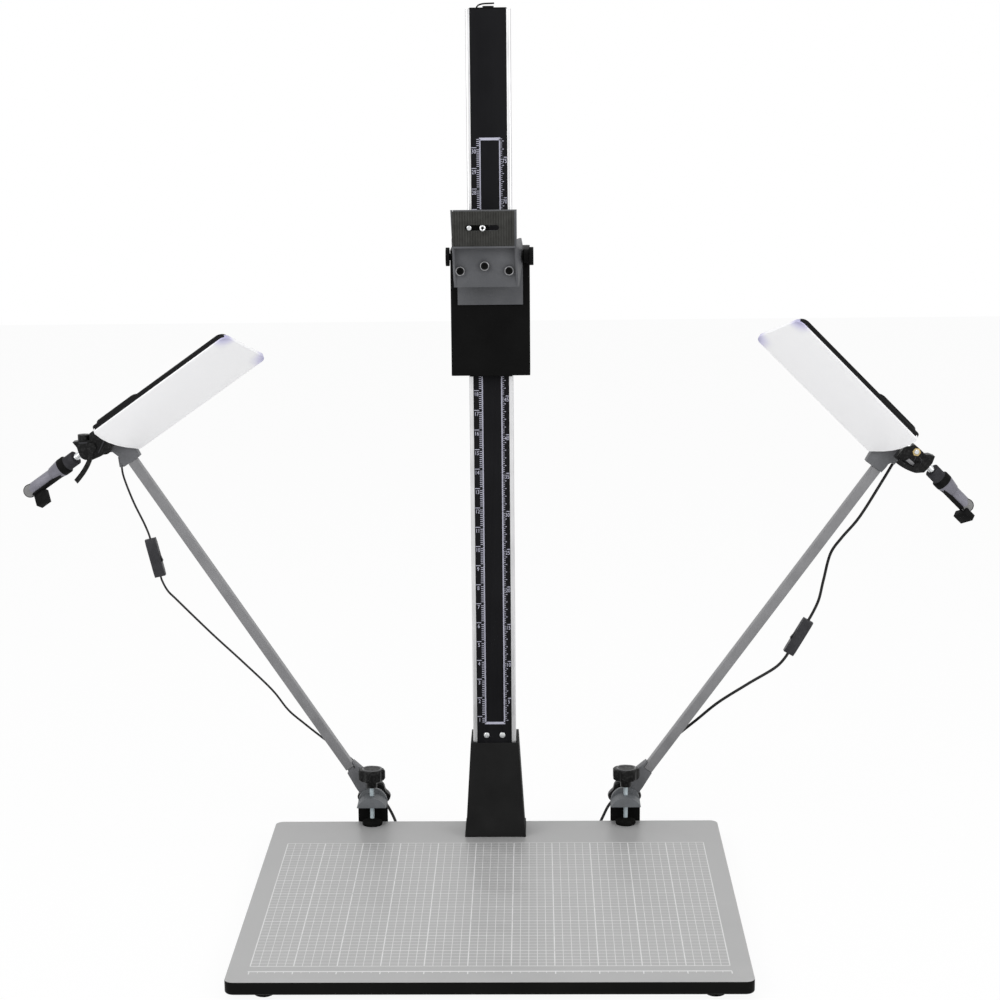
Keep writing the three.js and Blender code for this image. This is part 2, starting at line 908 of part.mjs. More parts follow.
function buildBracket() {
  const left = padLeft + cheekThick / 2;
  const right = padRight - cheekThick / 2;
  const padPlate = block([left, plateFace, padBottom - lipHeight], [right, plateBack, padTop]);
  const lip = block([left, padFace, padBottom - lipHeight], [right, plateBack, padBottom - gap]);
  const shelf = block(
    [left, plateFace, padBottom - lipHeight],
    [right, webFace + webThick, padBottom - lipHeight + shelfThick],
  );
  const web = block([left, webFace, webBottom], [right + cheekThick / 2, webFace + webThick, padBottom]);
  const axleHole = rod(axleRadius + gap, -sleeveWidth, sleeveWidth, "x", [0, axleY, axleZ]);
  const boltHoles = boltPlaces().map(
    ([x, z]) => rod(boltShank + gap, webFace - overrun, webFace + webThick + overrun, "y", [x, 0, z]),
  );
  const bracket = cut(
    join(
      padPlate,
      lip,
      shelf,
      web,
      cheek(left, leftLean, leftFlare),
      cheek(right, rightLean, rightFlare),
    ),
    axleHole,
    slotCutter(slotHeight, plateFace - overrun, plateBack + overrun),
    ...boltHoles,
  );
  add(stand, "tilt_bracket", bracket, "grey");

  // Ribbed rubber facing: upright grooves on both sides of the slot
  const rubberLeft = padLeft;
  const rubberRight = padRight - cheekThick;
  const facing = block([rubberLeft, padFace, padBottom], [rubberRight, plateFace, padTop - rubberInset]);
  const count = Math.floor((rubberRight - rubberLeft - rubRibWidth) / rubRibPitch);
  const first = (rubberLeft + rubberRight) / 2 - ((count - 1) / 2) * rubRibPitch;
  const grooves = Array.from({ length: count }, (_, i) => {
    const x = first + i * rubRibPitch;
    return block(
      [x - rubRibWidth / 2, padFace - overrun, padBottom - overrun],
      [x + rubRibWidth / 2, padFace + rubRibDepth, padTop + overrun],
    );
  });
  add(
    stand,
    "rubber_pad",
    cut(facing, slotCutter(slotHeight, padFace - overrun, plateFace + overrun), ...grooves),
    "pad",
  );

  // Bolts and the nut bar behind the web
  const barFront = webFace + webThick + gap;
  const bar = block(
    [boltCentreX - boltSpacing - nutBarMargin, barFront, boltSideZ - nutBarHeight / 2],
    [
      boltCentreX + boltSpacing + nutBarMargin,
      barFront + nutBarThick,
      boltSideZ + nutBarHeight / 2 + overrun,
    ],
  );
  const bolts = boltPlaces().map(([x, z]) => {
    const head = rod(boltHeadRadius, webFace - gap - boltHeadDepth, webFace - gap, "y", [x, 0, z]);
    const socket = rod(
      boltSocket,
      webFace - gap - boltHeadDepth - overrun,
      webFace - gap - boltHeadDepth + boltSocketDepth,
      "y",
      [x, 0, z],
      6,
    );
    const shank = rod(
      boltShank,
      webFace - gap - boltHeadDepth / 4,
      barFront + nutBarThick / 2,
      "y",
      [x, 0, z],
    );
    return join(cut(head, socket), shank);
  });
  add(stand, "bracket_bolts", join(bar, ...bolts), "grey");
}

// Camera screw in its slider, and the tilt bolt and knob

function buildBracketFittings() {
  const sliderFront = plateBack + gap;
  const sliderBack = sliderFront + sliderThick;
  const body = block(
    [pinX - sliderMargin, sliderFront, slotZ - sliderHeight / 2],
    [screwX + sliderMargin, sliderBack, slotZ + sliderHeight / 2],
  );
  const screwHole = rod(
    screwRadius + gap,
    sliderFront - overrun,
    sliderBack + overrun,
    "y",
    [screwX, 0, slotZ],
  );
  const pin = rod(pinRadius, padFace - pinReach, sliderBack - sliderThick / 2, "y", [pinX, 0, slotZ]);
  add(stand, "screw_slider", join(cut(body, screwHole), pin), "silver");

  const headFront = sliderBack + gap;
  const headBack = headFront + screwHeadDepth;
  const place = [screwX, 0, slotZ];
  const stud = rod(screwRadius, padFace - screwReach, headFront + screwHeadDepth / 2, "y", place);
  const head = rod(screwHeadRadius, headFront, headBack, "y", place);
  const ring = new THREE.TorusGeometry(ringRadius, ringWire, ringSides, ringSegments);
  ring.rotateX(Math.PI / 2).rotateZ(Math.PI / 2).rotateX(Math.PI / 2);
  ring.translate(screwX, headBack + ringRadius, slotZ);
  const ringSolid = solidOf(ring);
  add(stand, "camera_screw", join(stud, head, ringSolid), "chrome");

  const axlePlace = [0, axleY, axleZ];
  const headRight = boltHeadLeft + boltHeadWidth;
  const cheekOuter = padRight + rightFlare * (axleY - plateFace) + rightLean * (axleZ - padBottom);
  const hubStart = cheekOuter + knobHubRadius * Math.hypot(rightFlare, rightLean) + gap;
  const hubEnd = hubStart + knobHubWidth;
  const discEnd = hubEnd + knobDiscWidth;
  const axle = join(
    rod(tiltHeadRadius, boltHeadLeft, headRight, "x", axlePlace),
    rod(axleRadius, headRight - overrun, hubEnd, "x", axlePlace),
  );
  add(stand, "tilt_bolt", axle, "black");
  const knob = join(
    rod(knobHubRadius, hubStart, hubEnd + gap, "x", axlePlace),
    rod(knobDiscRadius, hubEnd, discEnd, "x", axlePlace),
  );
  const bore = rod(axleRadius + gap, hubStart - overrun, hubEnd + gap, "x", axlePlace);
  add(stand, "tilt_knob", cut(knob, bore), "black");
}

// Bench clamp of one side, in a group at the board's top face under the pivot

const clampBack = boardRear + gap;
const clampRear = clampBack + clampBackThick;
const jawFront = boardRear - jawReach;
const clampScrewY = boardRear - clampScrewInset;
const clampKnobTop = clampKnobBottom + clampKnobHeight;
const screwTop = clampKnobBottom + clampKnobHeight / 2;

function buildClamp(name, side) {
  const place = group(stand, side.clampX, 0, 0);
  const half = jawWidth / 2;
  const arch = new THREE.Shape();
  const rise = jawTop - jawUnderside;
  const radius = (half * half + rise * rise) / (2 * rise);
  const spread = Math.asin(half / radius);
  arch.moveTo(-half, jawUnderside);
  arch.lineTo(half, jawUnderside);
  arch.absarc(0, jawTop - radius, radius, Math.PI / 2 - spread, Math.PI / 2 + spread);
  const jaw = plate(arch, -clampRear, -jawFront, "y");
  const disc = rod(cheekRadius, clampBack, clampRear, "y", [0, 0, pivotZ], discSegments);
  const back = block([-half, clampBack, boardBottom - gap - lowerJawThick], [half, clampRear, pivotZ]);
  const lower = block(
    [-half, clampBack - lowerJawReach, boardBottom - gap - lowerJawThick],
    [half, clampRear, boardBottom - gap],
  );
  const screwHole = rod(
    clampScrewRadius + gap,
    jawUnderside - overrun,
    jawTop + overrun,
    "z",
    [0, clampScrewY, 0],
  );
  const boltHole = rod(
    pivotBolt + gap,
    clampBack - jawWall / 2,
    clampRear + overrun,
    "y",
    [0, 0, pivotZ],
  );
  add(place, `clamp_frame_${name}`, cut(join(jaw, disc, back, lower), screwHole, boltHole), "grey");

  const screw = turned(
    [
      [0, 0],
      [clampPadRadius - padEdge, 0],
      [clampPadRadius, padEdge],
      [clampPadRadius, clampPadHeight],
      [clampScrewRadius * 2, clampPadTop],
      [clampScrewRadius, clampPadTop],
      [clampScrewRadius, neckBottom - gap],
      [clampScrewRadius / 2, neckBottom - gap],
      [clampScrewRadius / 2, screwTop],
      [0, screwTop],
    ],
    "z",
    [0, clampScrewY, 0],
  );
  add(place, `clamp_screw_${name}`, screw, "chrome");

  const knobPlace = group(place, 0, clampScrewY, 0);
  const neck = rod(clampNeckRadius, neckBottom, clampKnobBottom + gap);
  const grip = lobedKnob(clampKnobRadius, clampKnobLobe, clampKnobLobes, clampKnobBottom, clampKnobTop);
  const bore = rod(clampScrewRadius / 2 + gap, neckBottom - overrun, screwTop + gap);
  add(knobPlace, `clamp_knob_${name}`, cut(join(neck, grip), bore), "black");
}

// Arm of one side, in a group at its pivot with +Z along the arm

const armFront = clampRear + gap;
const armY = armFront + armDepth / 2;
const armRear = armFront + armDepth;

function armGroup(side) {
  return group(stand, side.clampX, armY, pivotZ, new THREE.Euler(0, degrees(side.tilt), 0));
}

// A point of a cord in the arm's frame, hanging a given drop below the arm's end.
function hung(side, [across, depth, drop]) {
  return new THREE.Vector3(across, depth, armReach + side.extend - drop);
}

function buildArm(name, side) {
  const tubeStart = armTubeStart + side.extend;
  const reach = armReach + side.extend;
  const tubeEnd = reach - armTubeTop;
  const arm = armGroup(side);
  const outside = side.sign;
  const half = bracketWidth / 2;

  // Lower bracket: a round end on the pivot, a flare towards the inside and a tongue in the tube
  const outline = new THREE.Shape();
  outline.absarc(0, 0, half, Math.PI, 2 * Math.PI);
  outline.lineTo(half, bracketWaist);
  outline.lineTo(bracketTopHalf, armTubeStart - gap);
  outline.lineTo(-bracketTopHalf, armTubeStart - gap);
  outline.lineTo(-half, bracketWaist);
  const bar = plate(outline, -armDepth / 2, armDepth / 2, "y");
  const gusset = plate(
    gussetOutline.map(([x, z]) => [-outside * x, z]),
    -armDepth / 2,
    armDepth / 2,
    "y",
  );
  const tongueWidth = armWidth - 2 * armWall - 2 * gap;
  const tongueDepth = armDepth - 2 * armWall - 2 * gap;
  const tongue = (from, to) => block(
    [-tongueWidth / 2, -tongueDepth / 2, from],
    [tongueWidth / 2, tongueDepth / 2, to],
  );
  const boltHole = rod(pivotBolt + gap, -armDepth, armDepth, "y");
  const lower = cut(join(bar, gusset), boltHole);
  add(
    arm,
    `arm_bracket_${name}`,
    join(lower, tongue(armTubeStart - half, armTubeStart + tongueLength)),
    "grey",
  );

  const wallX = armWidth / 2;
  const wallY = armDepth / 2;
  const tube = cut(
    block([-wallX, -wallY, tubeStart], [wallX, wallY, tubeEnd]),
    block(
      [-wallX + armWall, -wallY + armWall, tubeStart - overrun],
      [wallX - armWall, wallY - armWall, tubeEnd + overrun],
    ),
  );
  add(arm, `arm_tube_${name}`, tube, "arm");

  // Upper casting: from the tube out to the swivel pin, with a boss where the cord comes out
  const x = outside * swivelX;
  const z = reach + swivelZ;
  const body = plate(
    castingOutline.map(
      ([across, along, share]) => [outside * (across + share * side.castingShift), reach + along],
    ),
    -castingDepth / 2,
    castingDepth / 2,
    "y",
  );
  const eye = rod(castingRound, -castingDepth / 2, castingDepth / 2, "y", [x, 0, z]);
  const pinHole = rod(swivelPin + gap, -castingDepth, castingDepth / 2 - armWall, "y", [x, 0, z]);
  const [start, next] = side.topRoute.map((point) => hung(side, point));
  const upward = start.clone().sub(next).normalize();
  const bossTurn = new THREE.Quaternion().setFromUnitVectors(new THREE.Vector3(0, 0, 1), upward);
  const bossPlace = new THREE.Matrix4().compose(start, bossTurn, new THREE.Vector3(1, 1, 1));
  const boss = turnedSolid(rod(cordBossRadius, gap, cordBossLength), bossPlace);
  const casting = join(body, eye, boss, tongue(tubeEnd - tongueLength, tubeEnd + half));
  add(arm, `arm_casting_${name}`, cut(casting, pinHole), "grey");

  // Lock knob on the pivot bolt, behind the arm
  const knobFace = armRear + lockGap;
  const knobPlace = group(stand, side.clampX, 0, pivotZ);
  const knob = turnedSolid(
    lobedKnob(lockLobeRadius, lockLobe, lockLobes, knobFace, knobFace + lockDepth),
    new THREE.Matrix4().makeRotationX(-Math.PI / 2),
  );
  const collar = rod(neckRadius, armRear + gap, knobFace + gap, "y");
  const bolt = rod(pivotBolt, clampBack - jawWall / 2 + gap, knobFace + gap, "y");
  add(knobPlace, `arm_lock_knob_${name}`, join(knob, collar, bolt), "black");
}

// Swivel head of one side, in a group on the swivel pin with +Z towards the lamp's rod

function buildHead(name, side) {
  const outside = side.sign;
  const armTurn = new THREE.Matrix4().makeRotationY(degrees(side.tilt));
  const pin = new THREE.Vector3(outside * swivelX, 0, armReach + side.extend + swivelZ).applyMatrix4(armTurn);
  pin.add(new THREE.Vector3(side.clampX, armY, pivotZ));
  const swivel = group(stand, pin.x, pin.y, pin.z, new THREE.Euler(0, degrees(side.swivel), 0));
  swivel.updateMatrixWorld(true);
  const rodPoint = new THREE.Vector3(0, rodOffsetY, rodOffsetZ).applyMatrix4(swivel.matrixWorld);
  const headTurn = new THREE.Euler(
    degrees(side.roll),
    degrees(-side.elevation),
    degrees(side.azimuth),
    "ZYX",
  );
  const head = group(stand, rodPoint.x, rodPoint.y, rodPoint.z, headTurn);
  head.updateMatrixWorld(true);
  const rodInSwivel = swivel.matrixWorld.clone().invert().multiply(head.matrixWorld);

  // Black block: a flange on the pin, a winged body round the rod and a drum on top
  const front = -blockReach;
  const flangeFront = -armDepth / 2 - gap - flangeDepth;
  const flange = rod(flangeRadius, flangeFront - gap, -armDepth / 2 - gap, "y");
  const pinShaft = rod(swivelPin, flangeFront, castingDepth / 2 - armWall - gap, "y");
  const body = plate(
    side.blockOutline.map(([x, z]) => [outside * x, z]),
    -flangeFront,
    -front,
    "y",
  );
  const [topX, topZ] = side.topPlace;
  const upright = new THREE.Matrix4().makeRotationY(-degrees(side.swivel));
  upright.setPosition(outside * topX, rodOffsetY, topZ);
  const top = side.nut
    ? rod(nutRadius, front - nutDepth, front + overrun, "y", [outside * topX, 0, topZ], hexSides)
    : turnedSolid(rod(drumRadius, -drumSunk, drumHeight), upright);
  const bore = turnedSolid(rod(rodShaftRadius + gap, -sleeveWidth, sleeveWidth, "x"), rodInSwivel);
  add(swivel, `swivel_block_${name}`, cut(join(flange, pinShaft, body, top), bore), "black");

  // Curved lever on the front of the block
  const leverFront = front - gap - leverDepth;
  const edge = (offset) => {
    const ends = side.leverLine.map(([x, z]) => new THREE.Vector2(outside * x, z + offset));
    return new THREE.QuadraticBezierCurve(...ends).getPoints(arcSegments * 2);
  };
  const bend = new THREE.Shape([...edge(leverWidth / 2), ...edge(-leverWidth / 2).reverse()]);
  const blade = plate(bend, -leverFront - leverDepth, -leverFront, "y");
  const hub = rod(
    leverHubRadius,
    leverFront,
    front - gap,
    "y",
    [outside * side.leverHub[0], 0, side.leverHub[1]],
  );
  add(swivel, `swivel_lever_${name}`, join(blade, hub), "black");

  buildLamp(name, side, head);
}

// Lamp, in a frame with +X along the rod towards the lamp and -Z towards the diffuser

// Plan of the lamp about its middle, drawn in by an inset: its near end is arched and slants.
function lampOutline(sign, inset, setBack = 0) {
  const far = lampLength / 2 - inset - setBack;
  const near = inset - lampLength / 2;
  const high = lampWidth / 2 - inset;
  const corner = lampCorner - inset;
  const bend = nearCorner - inset;
  const turn = Math.PI / 2;
  const shape = new THREE.Shape();
  shape.absarc(far - corner, -high + corner, corner, -turn, 0);
  shape.absarc(far - corner, high - corner, corner, 0, turn);
  shape.absarc(near - nearReach + bend, high - bend, bend, turn, 2 * turn);
  shape.quadraticCurveTo(near - nearArch, 0, near, -high + bend);
  shape.absarc(near + bend, -high + bend, bend, 2 * turn, 3 * turn);
  return shape.getPoints(arcSegments).map(({ x, y }) => [x, sign * y]);
}

function buildLamp(name, side, head) {
  const middle = lampStart + lampLength / 2;
  const face = -diffuserOffset;
  const seam = face + diffuserDepth;
  const back = seam + housingDepth;
  const along = new THREE.Matrix4().makeTranslation(middle, 0, 0);
  const full = lampOutline(side.sign, 0);
  const hollow = lampOutline(side.sign, rimWidth);
  const outside = lampOutline(side.sign, 0, housingSetBack);
  const inside = lampOutline(side.sign, rimWidth, housingSetBack);
  const tray = cut(plate(outside, seam + gap, back), plate(inside, seam, back - housingWall));
  const stepLength = lampLength * housingStepShare;
  const step = plate(roundedRectangle(stepLength, lampWidth, lampCorner), back - gap, back + housingStep);
  const stepped = turnedSolid(
    step,
    new THREE.Matrix4().makeTranslation(-(lampLength - stepLength) / 2, 0, 0),
  );
  const shell = turnedSolid(join(tray, stepped), along);
  const socket = block(
    [lampStart, -socketWidth / 2, back],
    [lampStart + socketLength, socketWidth / 2, socketRise],
  );
  const socketBore = rod(
    rodShaftRadius + gap,
    lampStart - overrun,
    lampStart + socketLength - rimWidth,
    "x",
  );
  add(head, `lamp_housing_${name}`, cut(join(shell, socket), socketBore), "black");
  const cover = cut(plate(full, face, seam), plate(hollow, face + rimWidth, seam + overrun));
  add(head, `lamp_diffuser_${name}`, turnedSolid(cover, along), "light");

  // Rod: a thin shaft through the swivel block, then the thicker handle tube
  const rodFar = lampStart + rodEntry;
  const shaft = turned(
    [
      [0, -side.rodEnd],
      [rodTubeRadius, -side.rodEnd],
      [rodTubeRadius, -rodTubeStart],
      [rodShaftRadius, -rodTubeStart],
      [rodShaftRadius, rodFar],
      [0, rodFar],
    ],
    "x",
  );
  const [ahead, aside, down] = capFacing;
  const facing = new THREE.Vector3(ahead, side.sign * aside, down).normalize();
  const capTurn = new THREE.Quaternion().setFromUnitVectors(new THREE.Vector3(0, 0, 1), facing);
  const capPlace = new THREE.Vector3(-side.rodEnd, 0, 0);
  const capMatrix = new THREE.Matrix4().compose(capPlace, capTurn, new THREE.Vector3(1, 1, 1));
  const cap = turnedSolid(rod(rodTubeRadius, -capBack, capReach), capMatrix);
  const capSpace = turnedSolid(rod(rodTubeRadius + gap, -capBack - gap, capReach + gap), capMatrix);
  add(head, `handle_rod_${name}`, join(shaft, cap), "arm");

  // Grip: a collar and a bell round the rod, with a strip and a clip on the diffuser's side
  const bore = rodTubeRadius + gap;
  const shaftBore = rodShaftRadius + gap;
  const grip = turned(
    [
      [shaftBore, -collarStart],
      [shaftBore, -rodTubeStart + gap],
      [bore, -rodTubeStart + gap],
      [bore, -bellEnd],
      [bore + rodRim, -bellEnd],
      [bellRingRadius, -collarEnd - bellRingWidth],
      [bellRingRadius, -collarEnd],
      [collarRadius, -collarEnd + rimWidth],
      [collarRadius, -collarStart],
      [shaftBore, -collarStart],
    ],
    "x",
  );
  const stripTop = -bore;
  const { from, length, drop, width, shift } = side.clip;
  const stripEnd = -side.rodEnd + from;
  const strip = block(
    [stripEnd, -stripWide / 2, stripTop - stripDeep],
    [-collarEnd - bellRingWidth / 2, stripWide / 2, stripTop],
  );
  const clip = block(
    [stripEnd, shift - width / 2, stripTop - drop],
    [stripEnd + length, shift + width / 2, stripTop],
  );
  add(head, `handle_grip_${name}`, cut(join(grip, strip, clip), capSpace), "black");
}

// Cords

function flatSection(width, thick) {
  const shape = new THREE.Shape();
  shape.absellipse(0, 0, thick / 2, width / 2, 0, 2 * Math.PI);
  return shape;
}

function stretch(points) {
  const curve = new THREE.CatmullRomCurve3(points);
  const steps = Math.round(curve.getLength() / cordStep);
  const section = flatSection(cordWidth, cordThick);
  return solidOf(
    new THREE.ExtrudeGeometry(section, { steps, extrudePath: curve, curveSegments: thinSegments }),
  );
}

// Routes are kept in the arm's frame above its pivot, and from the clamp and the board's rear edge below.
function routes(side) {
  const arm = armGroup(side);
  arm.updateMatrixWorld(true);
  const switchTop = hung(side, side.switchPlace);
  const top = side.topRoute.map((point) => hung(side, point).applyMatrix4(arm.matrixWorld));
  const middle = side.middleRoute.map(([across, depth], i) => {
    const along = side.middleShares[i] * switchTop.z;
    return new THREE.Vector3(across, depth, along).applyMatrix4(arm.matrixWorld);
  });
  const tail = side.tailRoute.map(([aside, behind, z]) => {
    return new THREE.Vector3(side.clampX + aside, boardRear + behind, z);
  });
  return { top, middle, tail, switchTop: switchTop.clone().applyMatrix4(arm.matrixWorld) };
}

// Middle line of a two-layer coil: it spirals in, climbs in the turn back and spirals out.
function coilLine(centre, sign) {
  const total = 2 * coilLayerTurns * coilSteps;
  return Array.from({ length: total + 1 }, (_, i) => {
    const turns = i / coilSteps - coilLayerTurns;
    const radius = coilRadius + coilPitch * (Math.abs(turns) - coilLayerTurns / 2);
    const climb = THREE.MathUtils.smoothstep(turns, -1 / 4, 1 / 4);
    const angle = -Math.PI / 2 - sign * 2 * Math.PI * turns;
    const x = centre.x + radius * Math.cos(angle);
    const y = centre.y + radius * Math.sin(angle);
    return new THREE.Vector3(x, y, centre.z + climb * coilLayerPitch);
  });
}

// A flat tube swept along points, with its width level.
function sweep(points, width, thick, count) {
  const up = new THREE.Vector3(0, 0, 1);
  const rings = points.map((point, i) => {
    const ahead = points[Math.min(i + 1, points.length - 1)];
    const behind = points[Math.max(i - 1, 0)];
    const along = ahead.clone().sub(behind).normalize();
    const across = along.clone().cross(up).normalize();
    const over = across.clone().cross(along);
    return Array.from({ length: count }, (_, k) => {
      const turn = (2 * Math.PI * k) / count;
      const sideways = across.clone().multiplyScalar((width / 2) * Math.cos(turn));
      const upright = over.clone().multiplyScalar((thick / 2) * Math.sin(turn));
      return point.clone().add(sideways).add(upright);
    });
  });
  const positions = [];
  const face = (...corners) => corners.forEach((corner) => positions.push(...corner.toArray()));
  for (let i = 0; i + 1 < rings.length; i++) {
    for (let k = 0; k < count; k++) {
      const next = (k + 1) % count;
      face(rings[i][k], rings[i + 1][k], rings[i + 1][next]);
      face(rings[i][k], rings[i + 1][next], rings[i][next]);
    }
  }
  const last = rings[rings.length - 1];
  for (let k = 1; k + 1 < count; k++) {
    face(rings[0][0], rings[0][k], rings[0][k + 1]);
    face(last[0], last[k + 1], last[k]);
  }
  const geometry = new THREE.BufferGeometry();
  geometry.setAttribute("position", new THREE.BufferAttribute(new Float32Array(positions), 3));
  return solidOf(geometry);
}

// Least gap between turns, from the distance between middle lines and the oval section.
function leastGap(points) {
  let least = Infinity;
  for (let i = 0; i < points.length; i++) {
    for (let j = i + coilSteps / 2; j < points.length; j++) {
      const level = Math.hypot(points[i].x - points[j].x, points[i].y - points[j].y);
      const rise = Math.abs(points[i].z - points[j].z);
      const share = Math.hypot(level / cordWidth, rise / cordThick);
      least = Math.min(least, (1 - 1 / share) * Math.hypot(level, rise));
    }
  }
  return least;
}

// In-line switch with a rocker in the narrow side that faces the arm, in a frame with -Z along the cord
function buildSwitch(name, side, switchTop) {
  const turn = new THREE.Euler(0, degrees(side.switchTurn), (-side.sign * Math.PI) / 2, "YXZ");
  const place = group(stand, ...switchTop.toArray(), turn);
  const half = switchWidth / 2;
  const depth = switchDepth / 2;
  const end = switchLength + switchTaper;
  const outline = [
    [-cordWidth, 0],
    [cordWidth, 0],
    [half, -switchTaper],
    [half, -switchLength],
    [cordWidth, -end],
    [-cordWidth, -end],
    [-half, -switchLength],
    [-half, -switchTaper],
  ];
  const middle = -end / 2;
  const reach = rockerLength / 2;
  const pocket = block(
    [-rockerWidth / 2 - gap, -depth - overrun, middle - reach - gap],
    [rockerWidth / 2 + gap, -depth + rockerPocket, middle + reach + gap],
  );
  add(
    place,
    `cord_switch_${name}`,
    cut(plate(outline.toReversed(), -depth, depth, "y"), pocket),
    "black",
  );
  const rocker = plate(
    [
      [-depth - rockerProud, middle - reach + gap],
      [-depth + rockerProud / 2, middle - reach],
      [-depth + rockerBack, middle - rockerProud],
      [-depth + rockerBack, middle + rockerProud],
      [-depth + rockerProud / 2, middle + reach - gap],
      [-depth, middle + reach - rockerProud],
      [-depth - rockerProud / 3, middle],
    ].toReversed(),
    -rockerWidth / 2,
    rockerWidth / 2,
    "x",
  );
  add(place, `switch_rocker_${name}`, rocker, "black");
  const along = new THREE.Vector3(0, 0, -1).applyEuler(place.rotation);
  const at = (distance) => place.position.clone().addScaledVector(along, distance);
  return { above: [at(-gap - cordWidth), at(-gap)], below: [at(end + gap), at(end + gap + cordWidth)] };
}

function buildCord(name, side) {
  const { top, middle, tail, switchTop } = routes(side);
  const { above, below } = buildSwitch(name, side, switchTop);
  add(stand, `cord_top_${name}`, stretch([...top, ...above]), "cord");
  add(stand, `cord_middle_${name}`, stretch([...below, ...middle]), "cord");

  // Coil on the floor close behind the board, with its end led to the plug
  const bottom = floorZ + cordThick / 2;
  const centre = new THREE.Vector3(side.sign * coilCentreX, boardRear + coilBehind, bottom);
  const turns = coilLine(centre, side.sign);
  const inward = -side.sign;
  const entry = turns[0].clone().add(new THREE.Vector3(-inward * cordWidth, 0, 0));
  const lift = floorZ + plugHeight / 2 - bottom - coilLayerPitch;
  const runOut = Array.from({ length: coilRunSteps }, (_, i) => {
    const share = (i + 1) / coilRunSteps;
    const ease = THREE.MathUtils.smoothstep(share, 1 / 4, 7 / 8);
    const offset = new THREE.Vector3(inward * coilRunOut * share, coilRunAside * ease, lift * ease);
    return turns[turns.length - 1].clone().add(offset);
  });
  add(
    stand,
    `cord_coil_${name}`,
    sweep([entry, ...turns, ...runOut], cordWidth, cordThick, coilSides),
    "cord",
  );
  console.log(`${name} coil: least gap to itself ${leastGap(turns).toFixed(2)} mm`);

  // Tail from the arm's pivot down to the coil
  const meet = entry.clone().add(new THREE.Vector3(-inward * gap, 0, 0));
  const before = meet.clone().add(new THREE.Vector3(-inward * 2 * cordWidth, 0, 0));
  const lead = before.clone().add(new THREE.Vector3(-inward * 3 * cordWidth, cordWidth, 0));
  add(stand, `cord_tail_${name}`, stretch([...tail, lead, before, meet]), "cord");

  // Two-blade plug lying flat, its blades towards the middle of the stand
  const end = runOut[runOut.length - 1];
  const place = group(stand, end.x + inward * gap, end.y, end.z);
  const width = plugWidth / 2;
  const neck = width * plugNeckShare;
  const outline = [
    [0, -neck],
    [0, neck],
    [plugLength * plugNeckShare, width - plugCorner],
    [plugLength * plugNeckShare + plugCorner, width],
    [plugLength, width],
    [plugLength, -width],
    [plugLength * plugNeckShare + plugCorner, -width],
    [plugLength * plugNeckShare, -width + plugCorner],
  ].map(([along, across]) => [inward * along, across]);
  const body = plate(inward > 0 ? outline.toReversed() : outline, -plugHeight / 2, plugHeight / 2);
  const blades = [-1, 1].map((which) => {
    const across = (which * bladeSpacing) / 2;
    const ends = [inward * (plugLength - overrun), inward * (plugLength + bladeLength)].sort((p, q) => p - q);
    return block(
      [ends[0], across - bladeThick / 2, -bladeHeight / 2],
      [ends[1], across + bladeThick / 2, bladeHeight / 2],
    );
  });
  add(place, `plug_${name}`, join(body, ...blades), "black");
}

buildBoard();
buildColumn();
buildColumnFoot();
buildCarriage();
buildMount();
buildBracket();
buildBracketFittings();
for (const [name, side] of Object.entries(sides)) {
  buildClamp(name, side);
  buildArm(name, side);
  buildHead(name, side);
  buildCord(name, side);
}
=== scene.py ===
# Copy stand: a ruled board, a column with a camera carriage, and two lamps on clamp-on arms.
# Lengths below are in millimetres and become metres through MM. The origin is the middle of the
# board's top face, +X runs to the right and +Y runs away from the front edge.
import json
import math

import bpy
from mathutils import Matrix, Vector

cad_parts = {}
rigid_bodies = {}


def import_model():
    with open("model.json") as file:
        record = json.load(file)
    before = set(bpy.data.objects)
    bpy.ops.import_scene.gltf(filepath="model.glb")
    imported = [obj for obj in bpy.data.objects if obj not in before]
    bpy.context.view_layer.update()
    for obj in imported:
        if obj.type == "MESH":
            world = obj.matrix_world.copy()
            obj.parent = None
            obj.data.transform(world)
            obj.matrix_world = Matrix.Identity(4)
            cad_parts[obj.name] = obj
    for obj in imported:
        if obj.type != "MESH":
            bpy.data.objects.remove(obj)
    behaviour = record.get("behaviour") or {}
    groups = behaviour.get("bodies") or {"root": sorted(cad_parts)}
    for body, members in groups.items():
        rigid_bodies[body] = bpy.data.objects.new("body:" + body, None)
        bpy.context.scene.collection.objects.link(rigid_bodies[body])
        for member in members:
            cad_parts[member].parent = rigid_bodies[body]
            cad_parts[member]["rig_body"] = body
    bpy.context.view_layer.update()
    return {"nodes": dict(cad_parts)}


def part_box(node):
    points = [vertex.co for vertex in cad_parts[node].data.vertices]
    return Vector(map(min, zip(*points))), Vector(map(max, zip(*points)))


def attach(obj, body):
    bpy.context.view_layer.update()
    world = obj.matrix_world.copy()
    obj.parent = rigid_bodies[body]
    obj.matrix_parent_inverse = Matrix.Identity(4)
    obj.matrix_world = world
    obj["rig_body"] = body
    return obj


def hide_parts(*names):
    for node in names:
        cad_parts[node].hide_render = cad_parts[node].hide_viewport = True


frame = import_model()

MM = 0.001
FLOOR_Z = -24.5
BOARD = {"x": 300, "y": 298, "thick": 16, "corner": 11, "top_edge": 0.8, "lower_edge": 3}
COLUMN_FRONT = 230


# Camera, at the photograph's place: angles in radians, lens and sensor in millimetres

CAMERA_PLACE = (54.59, -2883.3, 1013.95)
CAMERA_YAW, CAMERA_PITCH, CAMERA_ROLL = -0.0275, 0.2345, -0.0118
CAMERA_LENS = 87.95
CAMERA_SENSOR = 36
CAMERA_SHIFT = (0.03, 0.14)


